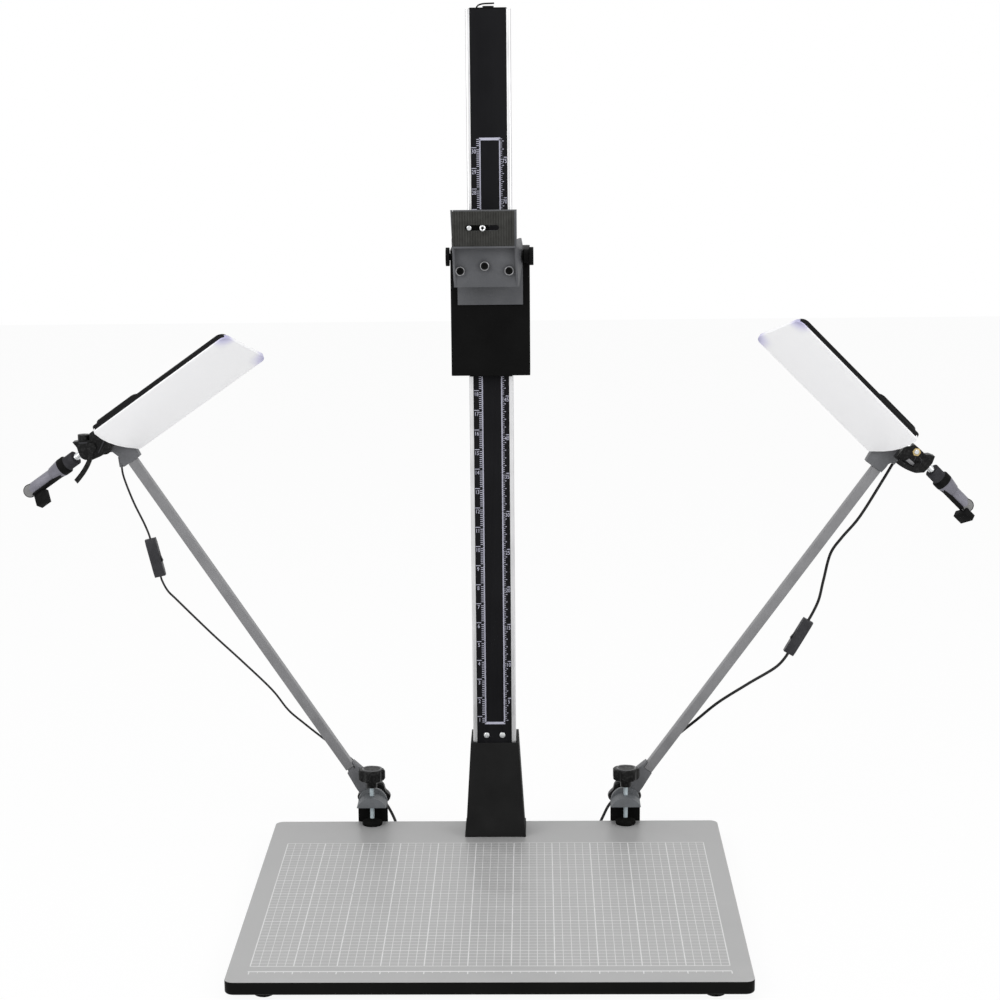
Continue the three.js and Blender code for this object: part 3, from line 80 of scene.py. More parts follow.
def aim_camera():
    eye = Vector(CAMERA_PLACE) * MM
    yaw, pitch, roll = CAMERA_YAW, CAMERA_PITCH, CAMERA_ROLL
    ahead = Vector((
        math.sin(yaw) * math.cos(pitch),
        math.cos(yaw) * math.cos(pitch),
        -math.sin(pitch),
    ))
    level = Vector((math.cos(yaw), -math.sin(yaw), 0))
    above = level.cross(ahead)
    right = math.cos(roll) * level + math.sin(roll) * above
    up = math.cos(roll) * above - math.sin(roll) * level
    turn = Matrix((right, up, -ahead)).transposed()
    bpy.ops.object.camera_add()
    camera = bpy.context.object
    camera.name = "photo_camera"
    camera.matrix_world = Matrix.Translation(eye) @ turn.to_4x4()
    camera.data.sensor_width = CAMERA_SENSOR
    camera.data.lens = CAMERA_LENS
    camera.data.shift_x, camera.data.shift_y = CAMERA_SHIFT
    bpy.context.scene.camera = camera


# Helpers for making a material

def linear(code):
    """A #rrggbb colour as linear light."""
    shares = [int(code[i : i + 2], 16) / 255 for i in (1, 3, 5)]
    light = [s / 12.92 if s <= 0.04045 else ((s + 0.055) / 1.055) ** 2.4 for s in shares]
    return (*light, 1)


def add(tree, kind, settings=None, links=None):
    """One node, with its settings, socket values and links."""
    made = tree.nodes.new(kind)
    for name, value in (settings or {}).items():
        if isinstance(name, str) and hasattr(made, name):
            setattr(made, name, value)
        else:
            made.inputs[name].default_value = value
    for name, source in (links or {}).items():
        tree.links.new(source, made.inputs[name])
    return made


def new_material(name):
    made = bpy.data.materials.new(name)
    made.use_nodes = True
    tree = made.node_tree
    tree.nodes.clear()
    return made, tree


def ramp(tree, factor, stops):
    """Colour of a factor, from (place, colour) stops."""
    made = add(tree, "ShaderNodeValToRGB", {}, {"Fac": factor})
    points = made.color_ramp.elements
    while len(points) < len(stops):
        points.new(0.5)
    for point, (place, colour) in zip(points, stops):
        point.position = place
        point.color = linear(colour)
    return made.outputs["Color"]


GRAIN_SHARE = 0.45  # weight of the fine grain beside the slow shading
DARKEST, PALEST = 0.45, 1  # values of their sum that get the first and the last colour
NOISE_LOW, NOISE_HIGH = 0.4, 0.6  # where most of a noise's values lie


def finish(
    name, colours, grain, depth, rough, metallic=0, stretch=(1, 1, 1), cloud=60, gloss=None
):
    """A surface with a fine grain and slow shading between its colours.

    grain is the grain's size, depth its height and cloud the size of the shading, all in mm.
    """
    made, tree = new_material(name)
    place = add(tree, "ShaderNodeTexCoord").outputs["Object"]
    scaled = add(
        tree, "ShaderNodeMapping", {"Scale": [s / (grain * MM) for s in stretch]}, {"Vector": place}
    )
    fine = add(
        tree, "ShaderNodeTexNoise", {"Scale": 1, "Detail": 3}, {"Vector": scaled.outputs[0]}
    )
    slow = add(
        tree, "ShaderNodeTexNoise", {"Scale": 1 / (cloud * MM), "Detail": 4}, {"Vector": place}
    )
    mixed = add(
        tree, "ShaderNodeMath", {"operation": "MULTIPLY_ADD", 1: GRAIN_SHARE},
        {0: fine.outputs["Fac"], 2: slow.outputs["Fac"]},
    )
    steps = len(colours) - 1
    stops = [
        (DARKEST + (PALEST - DARKEST) * i / steps, code) for i, code in enumerate(colours)
    ]
    spread = add(
        tree, "ShaderNodeMapRange",
        {"From Min": NOISE_LOW, "From Max": NOISE_HIGH, "To Min": rough[0], "To Max": rough[1]},
        {"Value": slow.outputs["Fac"]},
    )
    bump = add(
        tree, "ShaderNodeBump", {"Strength": 1, "Distance": depth * MM},
        {"Height": fine.outputs["Fac"]},
    )
    shader = add(
        tree, "ShaderNodeBsdfPrincipled", {"Metallic": metallic, **(gloss or {})},
        {
            "Base Color": ramp(tree, mixed.outputs[0], stops),
            "Roughness": spread.outputs[0],
            "Normal": bump.outputs[0],
        },
    )
    add(tree, "ShaderNodeOutputMaterial", {}, {"Surface": shader.outputs[0]})
    return made


# How much of the white room a surface mirrors, from hardly any to a little
DULL = {"Specular IOR Level": 0.04}
SMOOTH = {"Specular IOR Level": 0.08}
BROKEN = {"Specular IOR Level": 0.13}
SATIN = {"Specular IOR Level": 0.22}

# Melamine laminate: pale neutral grey with a fine pebble that takes the shine off
laminate = finish(
    "melamine_laminate", ["#a2a2a2", "#a8a8a8", "#adadad"],
    grain=0.9, depth=0.02, rough=(0.42, 0.52), cloud=90,
)
# Black edge band: extruded plastic, smoother than the board and a little shiny
edge_band = finish(
    "plastic_edge_band", ["#0e0e0e", "#141413"],
    grain=1.5, depth=0.01, rough=(0.3, 0.42), stretch=(1, 1, 6), gloss=DULL,
)
# Screen print on the board: thin pale ink, slightly uneven
grid_ink = finish(
    "pale_screen_print", ["#d2d2d2", "#dedede"],
    grain=0.8, depth=0.004, rough=(0.5, 0.6), cloud=25,
)
# Extruded aluminium, clear anodised: silky, with faint drawing lines up the profile
anodised = finish(
    "anodised_aluminium", ["#cfcfd0", "#dadadb", "#e2e2e3"],
    grain=0.5, depth=0.006, rough=(0.34, 0.46), metallic=1,
    stretch=(1, 1, 0.01), cloud=45,
)
# Black anodised strip: deep, even and dull
black_strip = finish(
    "black_anodised_strip", ["#141416", "#1b1b1d"],
    grain=0.6, depth=0.004, rough=(0.45, 0.55), stretch=(1, 1, 0.02), gloss=DULL,
)
# Scale print: pale lavender-grey ink on the black strip
scale_ink = finish(
    "scale_print", ["#a9a9ba", "#bcbccb"],
    grain=0.6, depth=0.004, rough=(0.5, 0.6), cloud=20,
)
# Powder-coated steel: black with the soft orange-peel of a baked coat
black_coat = finish(
    "black_powder_coat", ["#0a0a0a", "#0f0f0f", "#131313"],
    grain=1.1, depth=0.035, rough=(0.5, 0.62), cloud=40, gloss=DULL,
)
# The foot's thicker coat: charcoal black, even and matt
foot_coat = finish(
    "charcoal_powder_coat", ["#1b1b1b", "#202020", "#252525"],
    grain=1.1, depth=0.03, rough=(0.52, 0.64), cloud=45, gloss=DULL,
)
# Grey painted steel of the bracket: sprayed satin paint over bent sheet
grey_coat = finish(
    "grey_satin_paint", ["#4d4e51", "#56575a", "#5f6063"],
    grain=1.2, depth=0.02, rough=(0.46, 0.56), cloud=35, gloss=SATIN,
)
# Die-cast alloy under thin grey paint: coarser than sheet
cast_grey = finish(
    "painted_die_casting", ["#585a5c", "#616265", "#6b6c6f"],
    grain=1.6, depth=0.05, rough=(0.48, 0.6), cloud=14,
)
# Clamp casting: the same paint, a little cooler in tone
clamp_grey = finish(
    "clamp_die_casting", ["#55585a", "#5f6265", "#696c6f"],
    grain=1.6, depth=0.05, rough=(0.48, 0.6), cloud=16,
)
# The clamp's round cheek: mottled, and paler as painted light on its faces that look front and back
cheek_painted_light = finish(
    "cheek_die_casting_painted_light", ["#67686a", "#78797b", "#88898a"],
    grain=2.2, depth=0.06, rough=(0.45, 0.6), cloud=7,
)
# Arm tube: mid grey stove enamel
arm_paint = finish(
    "stove_enamel_grey", ["#767678", "#7f7f81", "#878789"],
    grain=1, depth=0.012, rough=(0.42, 0.5), cloud=30,
)
# Handle tube: satin grey-lavender lacquer on aluminium
handle_paint = finish(
    "lacquered_aluminium", ["#6d6c76", "#7a7983", "#86858f"],
    grain=0.8, depth=0.01, rough=(0.34, 0.44), metallic=0.2, cloud=12,
)
# Bell of the handle: lavender-grey moulding
bell_grey = finish(
    "grey_moulded_bell", ["#5f5e67", "#6d6c76", "#7b7a85"],
    grain=0.7, depth=0.02, rough=(0.4, 0.5), cloud=9,
)
# Collar of the handle: charcoal moulding, dull
collar_grey = finish(
    "charcoal_moulding", ["#2e2e31", "#37373a", "#414144"],
    grain=0.7, depth=0.02, rough=(0.5, 0.6), cloud=7, gloss=DULL,
)
# Round plug in the handle's end: plain mid-grey plastic
end_plug = finish(
    "grey_end_plug", ["#6f6f6f", "#787878", "#808080"],
    grain=0.6, depth=0.01, rough=(0.5, 0.6), cloud=6,
)
# Moulded ABS with a spark-eroded grain: black, dull, slightly rubbed
black_abs = finish(
    "moulded_abs", ["#0e0e0e", "#141414", "#1b1b1b"],
    grain=0.7, depth=0.03, rough=(0.48, 0.6), cloud=10, gloss=DULL,
)
# Lamp shells and switch keys: moulded black with a smoother skin
gloss_abs = finish(
    "polished_abs", ["#0e0e0f", "#151516"],
    grain=2, depth=0.01, rough=(0.35, 0.45), cloud=8, gloss=SMOOTH,
)
# Glass-filled nylon: black, with small pale patches as painted broken highlights, for the heads,
# levers and clamp knobs
nylon_painted_glints = finish(
    "glass_filled_nylon_painted_glints", ["#0c0c0c", "#151515", "#303030"],
    grain=1.8, depth=0.15, rough=(0.3, 0.5), cloud=3, gloss=BROKEN,
)
# Switch housing: charcoal ABS, a little paler than the other plastics; on the swivel blocks' ribs
# its paler tone is a painted highlight
switch_grey = finish(
    "charcoal_abs", ["#27272a", "#303033", "#39393c"],
    grain=0.8, depth=0.02, rough=(0.4, 0.52), cloud=8, gloss=SATIN,
)
# Side of the switch that carries the key: the same plastic, polished and paler; the clamp knobs'
# rims wear it as a painted highlight
switch_side = finish(
    "polished_charcoal_abs", ["#4c4c4e", "#58585a"],
    grain=1.2, depth=0.01, rough=(0.3, 0.4), cloud=6,
)
# Rubber: nearly black, very dull, with a fine dusty bloom
rubber = finish(
    "moulded_rubber", ["#0d0d0d", "#131312", "#191918"],
    grain=0.5, depth=0.03, rough=(0.78, 0.9), cloud=9, gloss=DULL,
)
# Ribbed rubber facing: a warmer dark grey, dull
pad_rubber = finish(
    "ribbed_rubber", ["#343432", "#3e3e3c", "#474745"],
    grain=0.6, depth=0.03, rough=(0.75, 0.88), cloud=12, gloss=DULL,
)
# Nickel-plated steel: bright with soft polishing haze
nickel = finish(
    "nickel_plate", ["#c4c6c8", "#d3d5d6", "#dfe0e1"],
    grain=0.6, depth=0.005, rough=(0.16, 0.28), metallic=1, cloud=5,
)
# Clamp spindle: zinc-plated steel, with the pale blue cast of its passivation
zinc = finish(
    "zinc_plated_steel", ["#8e9a9f", "#a3aeb3", "#b6c0c4"],
    grain=0.7, depth=0.02, rough=(0.3, 0.42), metallic=0.6, stretch=(1, 1, 6), cloud=5,
)
# Bolt rims: blackened steel, worn pale where a key has rubbed
dull_steel = finish(
    "worn_blackened_steel", ["#5c5c5e", "#8d8d8f", "#b4b4b6"],
    grain=0.8, depth=0.02, rough=(0.35, 0.5), metallic=0.5, cloud=4,
)
# Brass nut: yellow metal, lightly dulled
brass = finish(
    "dull_brass", ["#b39a62", "#c4ad79", "#d1bf92"],
    grain=0.6, depth=0.006, rough=(0.25, 0.38), metallic=1, cloud=4,
)
# Soft PVC flex: black with a faint sheen along the cord
flex_pvc = finish(
    "soft_pvc", ["#121212", "#1a1a1a", "#222222"],
    grain=1.2, depth=0.01, rough=(0.36, 0.48), cloud=8, gloss=SATIN,
)


PANEL_FAR = 258.5  # from the swivel's rod to the lamp's far end
PANEL_HALF = 42
# Where painted shade of a cool lavender darkens the panel's two far corners, along it and across it
SHADE_LENGTHWAYS = (PANEL_FAR - 26, PANEL_FAR + 4)
SHADE_SIDEWAYS = (PANEL_HALF - 24, PANEL_HALF + 2)
HAZE_SIZE = 30
HAZE_SHARE = 0.06
# White of the sheet, then the painted shade towards the far corners
PANEL_AND_SHADE_COLOURS = [(0, "#f6f6f7"), (0.06, "#f1f1f3"), (0.45, "#cfcde6"), (1, "#8e8bb4")]
PANEL_ROUGH = (0.34, 0.42)
ACRYLIC_IOR = 1.49
PANEL_PAINTED_GLOW = 0.05  # a faint painted glow that lifts the unlit sheet


def opal(name, lamp):
    """Opal acrylic: milky white and satin, with painted shade of a cool lavender in the two far
    corners of the panel.
    """
    made, tree = new_material(name)
    local = add(
        tree, "ShaderNodeMapping",
        {
            "vector_type": "TEXTURE", "Location": lamp.translation, "Rotation": lamp.to_euler(),
            "Scale": (MM, MM, MM),
        },
        {"Vector": add(tree, "ShaderNodeTexCoord").outputs["Object"]},
    )
    parts = add(tree, "ShaderNodeSeparateXYZ", {}, {0: local.outputs[0]})
    sideways = add(tree, "ShaderNodeMath", {"operation": "ABSOLUTE"}, {0: parts.outputs[1]})
    far, corner = (
        add(
            tree, "ShaderNodeMapRange",
            {"interpolation_type": "SMOOTHSTEP", "From Min": start, "From Max": end},
            {"Value": distance},
        )
        for distance, (start, end) in (
            (parts.outputs[0], SHADE_LENGTHWAYS), (sideways.outputs[0], SHADE_SIDEWAYS),
        )
    )
    # Painted shade, strongest where the far end and the long sides meet
    both = add(
        tree, "ShaderNodeMath", {"operation": "MULTIPLY"}, {0: far.outputs[0], 1: corner.outputs[0]}
    )
    haze = add(
        tree, "ShaderNodeTexNoise", {"Scale": 1 / (HAZE_SIZE * MM), "Detail": 2},
        {"Vector": local.outputs[0]},
    )
    soft = add(
        tree, "ShaderNodeMath", {"operation": "MULTIPLY_ADD", 1: HAZE_SHARE},
        {0: haze.outputs["Fac"], 2: both.outputs[0]},
    )
    spread = add(
        tree, "ShaderNodeMapRange",
        {"From Min": 0.3, "From Max": 0.7, "To Min": PANEL_ROUGH[0], "To Max": PANEL_ROUGH[1]},
        {"Value": haze.outputs["Fac"]},
    )
    # The faint emission is a painted glow on the sheet
    shader = add(
        tree, "ShaderNodeBsdfPrincipled",
        {"IOR": ACRYLIC_IOR, "Emission Color": (1, 1, 1, 1), "Emission Strength": PANEL_PAINTED_GLOW},
        {"Base Color": ramp(tree, soft.outputs[0], PANEL_AND_SHADE_COLOURS), "Roughness": spread.outputs[0]},
    )
    add(tree, "ShaderNodeOutputMaterial", {}, {"Surface": shader.outputs[0]})
    return made


# Helpers for making a piece: angles in degrees

SHARP = 35  # an edge that turns by more is broken
ROUND = 32  # an edge that turns by less is shaded smooth
FLEX_ROUND = 60
FLAT = 1  # faces that turn by less are one
DOUBLES = 1e-7  # metres between points of a new piece that are one
WELD = 1e-5  # the same for a copied node


def select(*pieces):
    bpy.ops.object.select_all(action="DESELECT")
    for piece in pieces:
        piece.select_set(True)
    bpy.context.view_layer.objects.active = pieces[0]


def settle(piece, place=None):
    """Moves a piece by a matrix and puts its place into its mesh."""
    if place is not None:
        piece.matrix_world = place @ piece.matrix_world
    select(piece)
    bpy.ops.object.transform_apply(location=True, rotation=True, scale=True)
    return piece


def operate(piece, kind, test, *steps):
    """Selects the faces or edges that pass the test, then runs edit-mode steps on them."""
    select(piece)
    bpy.ops.object.mode_set(mode="EDIT")
    bpy.ops.mesh.select_mode(type=kind)
    bpy.ops.mesh.select_all(action="DESELECT")
    bpy.ops.object.mode_set(mode="OBJECT")
    mesh = piece.data
    if kind == "FACE":
        for face in mesh.polygons:
            face.select = bool(test(face.center / MM, face.normal))
    else:
        for edge in mesh.edges:
            ends = [mesh.vertices[i].co / MM for i in edge.vertices]
            edge.select = bool(test(*ends))
    bpy.ops.object.mode_set(mode="EDIT")
    for step in steps:
        step()
    bpy.ops.object.mode_set(mode="OBJECT")
    return piece


def operate_on_all(piece, *steps):
    """Runs edit-mode steps on a whole piece."""
    return operate(
        piece, "FACE", lambda centre, normal: True,
        lambda: bpy.ops.mesh.select_all(action="SELECT"), *steps,
    )


def face_outwards():
    bpy.ops.mesh.select_all(action="SELECT")
    bpy.ops.mesh.normals_make_consistent(inside=False)


def round_edges(piece, test, width, segments):
    """Rounds the edges whose two ends pass the test."""
    return operate(
        piece, "EDGE", test,
        lambda: bpy.ops.mesh.bevel(offset=width * MM, segments=segments, affect="EDGES"),
    )


def smooth(piece, angle=ROUND):
    select(piece)
    bpy.ops.object.shade_smooth_by_angle(angle=math.radians(angle))
    return piece


def apply_modifier(piece, kind, **settings):
    made = piece.modifiers.new(kind.lower(), kind)
    for name, value in settings.items():
        setattr(made, name, value)
    select(piece)
    bpy.ops.object.modifier_apply(modifier=made.name)
    return piece


def ease(piece, width, segments=2):
    """Breaks every sharp edge by the given width."""
    apply_modifier(
        piece, "BEVEL", width=width * MM, segments=segments, limit_method="ANGLE",
        angle_limit=math.radians(SHARP), use_clamp_overlap=True,
    )
    return smooth(piece, SHARP)


def block(name, low, high):
    """A block from its low corner to its high one."""
    size = [(b - a) * MM for a, b in zip(low, high)]
    middle = [(a + b) / 2 * MM for a, b in zip(low, high)]
    bpy.ops.object.select_all(action="DESELECT")
    bpy.ops.mesh.primitive_cube_add(size=1, location=middle, scale=size)
    piece = bpy.context.object
    piece.name = name
    return settle(piece)


def plate(name, outline, low, high):
    """A plate on an outline in X and Y, from one height to another."""
    bpy.ops.object.select_all(action="DESELECT")
    bpy.ops.mesh.primitive_circle_add(vertices=len(outline), radius=1, fill_type="NGON")
    piece = bpy.context.object
    piece.name = name
    for vertex, (x, y) in zip(piece.data.vertices, outline):
        vertex.co = (x * MM, y * MM, low * MM)
    rise = {"value": (0, 0, (high - low) * MM)}
    return operate_on_all(
        piece, lambda: bpy.ops.mesh.extrude_region_move(TRANSFORM_OT_translate=rise), face_outwards
    )


def turned(name, profile, segments=48, bored=False):
    """A turned piece on +Z: a ring is extruded and scaled from one (radius, height) to the next."""
    first_radius, first_height = profile[0]
    bpy.ops.object.select_all(action="DESELECT")
    bpy.ops.mesh.primitive_circle_add(
        vertices=segments, radius=first_radius * MM, location=(0, 0, first_height * MM),
        fill_type="NOTHING",
    )
    piece = settle(bpy.context.object)
    piece.name = name
    bpy.ops.object.mode_set(mode="EDIT")
    bpy.ops.mesh.select_mode(type="EDGE")
    bpy.ops.mesh.select_all(action="SELECT")
    for (radius, height), (wider, higher) in zip(profile, profile[1:]):
        rise = {"value": (0, 0, (higher - height) * MM)}
        bpy.ops.mesh.extrude_region_move(TRANSFORM_OT_translate=rise)
        share = wider / radius
        bpy.ops.transform.resize(value=(share, share, 1), center_override=(0, 0, higher * MM))
    if not bored:
        bpy.ops.mesh.edge_face_add()
    bpy.ops.mesh.select_all(action="DESELECT")
    bpy.ops.mesh.select_non_manifold()
    if bored:
        bpy.ops.mesh.bridge_edge_loops()
    else:
        bpy.ops.mesh.edge_face_add()
    bpy.ops.mesh.select_all(action="SELECT")
    bpy.ops.mesh.remove_doubles(threshold=DOUBLES)
    bpy.ops.mesh.normals_make_consistent(inside=False)
    bpy.ops.object.mode_set(mode="OBJECT")
    return smooth(piece)


def join(name, *pieces):
    select(*pieces)
    bpy.ops.object.join()
    pieces[0].name = name
    return pieces[0]


def repeat(piece, count, offset):
    """Repeats a piece in a row."""
    return apply_modifier(
        piece, "ARRAY", count=count, use_relative_offset=False, use_constant_offset=True,
        constant_offset_displace=[v * MM for v in offset],
    )


def copy_of(piece, name, place):
    """A copy of a pattern, moved by a matrix."""
    made = bpy.data.objects.new(name, piece.data.copy())
    bpy.context.scene.collection.objects.link(made)
    return settle(made, place)


def carve(piece, *tools):
    """Cuts each tool out of a piece."""
    for tool in tools:
        apply_modifier(piece, "BOOLEAN", operation="DIFFERENCE", object=tool, solver="EXACT")
        bpy.data.objects.remove(tool)
    return piece


def body_of(node):
    return frame["nodes"][node]["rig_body"]


def wear(piece, material):
    piece.data.materials.clear()
    piece.data.materials.append(material)
    return piece


def hand_over(piece, material, body, slot, *nodes):
    """Gives a finished piece its material and its body, and hides the nodes that it stands for;
    slot is not used.
    """
    wear(piece, material)
    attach(piece, body)
    if nodes:
        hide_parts(*nodes)
    return piece


def dressed(node, name, material, slot, edge, segments=2):
    """A merged copy of a node with its edges broken, for a part whose main shape is right."""
    piece = bpy.data.objects.new(name, frame["nodes"][node].data.copy())
    bpy.context.scene.collection.objects.link(piece)
    operate_on_all(
        piece,
        lambda: bpy.ops.mesh.remove_doubles(threshold=WELD),
        lambda: bpy.ops.mesh.dissolve_limited(angle_limit=math.radians(FLAT)),
    )
    ease(piece, edge, segments)
    return hand_over(piece, material, body_of(node), slot, node)


def paint(piece, material, test):
    """Gives the faces whose middle and normal pass the test a second finish."""
    piece.data.materials.append(material)
    index = len(piece.data.materials) - 1
    for face in piece.data.polygons:
        if test(face.center / MM, face.normal):
            face.material_index = index
    return piece


def within(place, test):
    """A test that gets a face's middle and normal in a part's own frame."""
    back = place.inverted()
    return lambda centre, normal: test((back @ (centre * MM)) / MM, back.to_3x3() @ normal)


# Frames of the two sides, as the joints hold them

SIDES = {
    "left": {
        "sign": -1, "clamp_x": -168, "tilt": -33.35, "extend": 3.5, "swivel": -38.7,
        "azimuth": -18.2, "elevation": 33.9, "roll": -30.2,
        "switch_top": (-459.5, 314, 391.5), "switch_turn": -13.1, "rod_end": 125.7,
        "flat_on": (0, 1, 0),
        "top": [(-492.8, 311, 489), (-491.6, 311, 479), (-479.8, 312, 442.9), (-466, 313.5, 411)],
        "middle": [
            (-439.2, 315, 320.3), (-427.8, 316, 307.7), (-381.6, 318, 259.3), (-341.6, 320, 219.6),
            (-301.6, 323, 177.5), (-281.8, 325, 150), (-261.6, 327, 131.2), (-231.3, 331, 104.7),
            (-199.3, 337, 77.8), (-184, 340, 60), (-172, 343, 36), (-168, 346, 27), (-168, 350, 27),
        ],
        "tail": [
            (-168, 350.3, 27), (-168, 354, 27), (-164, 358, 20), (-151.5, 350, 6.4),
            (-141.5, 341, -10), (-136, 326, -20.5),
        ],
    },
    "right": {
        "sign": 1, "clamp_x": 175.5, "tilt": 36, "extend": 0, "swivel": 40.7,
        "azimuth": -161.9, "elevation": 43.6, "roll": 28.3,
        "switch_top": (420.2, 314, 274.8), "switch_turn": 30.2, "rod_end": 113.3,
        "flat_on": (-0.75, 0.66, 0),
        "top": [
            (526, 311, 486), (511.1, 311, 459.9), (482.4, 312, 412.1), (461.2, 313, 386.3),
            (448.3, 314, 367.2), (438.9, 314, 329.1), (432.8, 314, 301.2),
        ],
        "middle": [
            (380.2, 316, 211.4), (341.5, 319, 186), (300.8, 322, 158.6), (273.6, 326, 134.5),
            (250, 331, 113.3), (212, 339, 76), (187, 343, 46), (177, 344.5, 33), (175.5, 346, 27),
            (175.5, 350, 27),
        ],
        "tail": [
            (175.5, 350.3, 27), (175.5, 354, 27), (170, 358, 20), (155.3, 350, 6.4),
            (145.5, 341, -10), (138, 326, -20.5),
        ],
    },
}
ARM_Y = 312.6  # the arm's pivot, behind the board
PIVOT_Z = 27
ARM_REACH = 574.5  # from the pivot to the top of the tube
SWIVEL_X, SWIVEL_Z = 18, 20  # from there to the head's pin
ROD_Y, ROD_Z = -23, 12.6  # from the pin to the handle rod


def turn_about(axis, angle):
    return Matrix.Rotation(math.radians(angle), 4, axis)


def move(x, y, z):
    return Matrix.Translation(Vector((x, y, z)) * MM)


def facing_front(x, y, z):
    """A place with its Z axis towards the viewer."""
    return move(x, y, z) @ turn_about("X", 90)


def side_frames(side):
    """The swivel's, the lamp's and the switch's frames."""
    sign = side["sign"]
    arm = move(side["clamp_x"], ARM_Y, PIVOT_Z) @ turn_about("Y", side["tilt"])
    pin = arm @ Vector((sign * SWIVEL_X * MM, 0, (ARM_REACH + side["extend"] + SWIVEL_Z) * MM))
    swivel = Matrix.Translation(pin) @ turn_about("Y", side["swivel"])
    hold = swivel @ (Vector((0, ROD_Y, ROD_Z)) * MM)
    lamp = (
        Matrix.Translation(hold)
        @ turn_about("Z", side["azimuth"])
        @ turn_about("Y", -side["elevation"])
        @ turn_about("X", side["roll"])
    )
    switch = (
        move(*side["switch_top"])
        @ turn_about("Y", side["switch_turn"])
        @ turn_about("Z", -90 * sign)
    )
    return {"swivel": swivel, "lamp": lamp, "switch": switch}


# Cords: flat twin flex from each casting to its switch, down the arm and to a coil on the floor

CORD_WIDE = 4.2
CORD_THICK = 2.4
CORD_STEP = 3.0
SWITCH_LENGTH = 52.5
GAP = 0.3
COIL = {"x": 100, "y": 326, "radius": 21, "pitch": 4.8, "layer": 2.95, "turns": 3, "steps": 24}
PLUG_RUN, PLUG_STEP, PLUG_AXIS = 38, 14.5, 6.5  # from the coil's end to the plug
PLUG_POINTS = 8


def eased(value):
    """Goes from 0 to 1 with a soft start and a soft end."""
    share = min(max(value, 0), 1)
    return share * share * (3 - 2 * share)


def smooth_line(points):
    """Points along a centripetal curve through a route, as the frame's cord solids follow it."""
    line = []
    for i in range(len(points) - 1):
        p1, p2 = points[i], points[i + 1]
        p0 = points[i - 1] if i else p1 * 2 - p2
        p3 = points[i + 2] if i + 2 < len(points) else p2 * 2 - p1
        t0, t1, t2 = ((b - a).length ** 0.5 for a, b in ((p0, p1), (p1, p2), (p2, p3)))
        m1 = ((p1 - p0) / t0 - (p2 - p0) / (t0 + t1) + (p2 - p1) / t1) * t1
        m2 = ((p2 - p1) / t1 - (p3 - p1) / (t1 + t2) + (p3 - p2) / t2) * t1
        count = max(1, round((p2 - p1).length / CORD_STEP))
        for k in range(count):
            t = k / count
            line.append(
                p1 * (2 * t**3 - 3 * t**2 + 1)
                + m1 * (t**3 - 2 * t**2 + t)
                + p2 * (-2 * t**3 + 3 * t**2)
                + m2 * (t**3 - t**2)
            )
    line.append(points[-1].copy())
    return line


def coil_line(sign):
    """Start and middle line of the coil: two layers, in and out again, then a run to the plug."""
    layer, turns_each, steps = COIL["layer"], COIL["turns"], COIL["steps"]
    bottom = FLOOR_Z + CORD_THICK / 2
    centre = Vector((sign * COIL["x"], COIL["y"], bottom))
    line = []
    for i in range(2 * turns_each * steps + 1):
        turns = i / steps - turns_each
        reach = COIL["radius"] + COIL["pitch"] * (abs(turns) - turns_each / 2)
        climb = eased((turns + 0.25) / 0.5)  # within the half turn in the middle
        angle = -math.pi / 2 - sign * 2 * math.pi * turns
        line.append(
            centre + Vector((reach * math.cos(angle), reach * math.sin(angle), climb * layer))
        )
    entry = line[0] + Vector((sign * CORD_WIDE, 0, 0))
    lift = FLOOR_Z + PLUG_AXIS - bottom - layer
    last = line[-1]
    for i in range(PLUG_POINTS):
        share = (i + 1) / PLUG_POINTS
        bend = eased((share - 0.25) / 0.625)
        line.append(last + Vector((-sign * PLUG_RUN * share, PLUG_STEP * bend, lift * bend)))
    return entry, line


def twin_section():
    """Outline of a flat twin flex: two round cores side by side with a waist between them."""
    core = CORD_THICK / 2
    apart = CORD_WIDE / 2 - core
    arc = [math.radians(a) for a in (-125, -85, -45, 0, 45, 85, 125)]
    right = [(apart + core * math.cos(a), core * math.sin(a)) for a in arc]
    return right + [(-x, -y) for x, y in right]


def flex(name, line, first_across, level_from=None):
    """A flat flex swept along a line.

    Its width starts across the given direction, or lies level from one index on. Elsewhere it
    follows the line without twisting.
    """
    count = len(line)
    along = [(line[min(i + 1, count - 1)] - line[max(i - 1, 0)]).normalized() for i in range(count)]
    across = [None] * count
    if level_from is None:
        across[0] = first_across - along[0] * first_across.dot(along[0])
        order = range(1, count)
    else:
        for i in range(level_from, count):
            across[i] = along[i].cross(Vector((0, 0, 1)))
        order = range(level_from - 1, -1, -1)
    for i in order:
        before = across[i - 1] if level_from is None else across[i + 1]
        across[i] = before - along[i] * before.dot(along[i])
    section = twin_section()
    corners = []
    for point, ahead, sideways in zip(line, along, across):
        wide = sideways.normalized()
        over = wide.cross(ahead)
        corners += [(point + wide * x + over * y) * MM for x, y in section]
    size = len(section)
    faces = [list(range(size))[::-1], list(range((count - 1) * size, count * size))]
    for i in range(count - 1):
        for k in range(size):
            here, near = i * size + k, i * size + (k + 1) % size
            faces.append([here, near, near + size, here + size])
    mesh = bpy.data.meshes.new(name)
    mesh.from_pydata([tuple(c) for c in corners], [], faces)
    piece = bpy.data.objects.new(name, mesh)
    bpy.context.scene.collection.objects.link(piece)
    operate_on_all(piece, face_outwards)
    return smooth(piece, FLEX_ROUND)


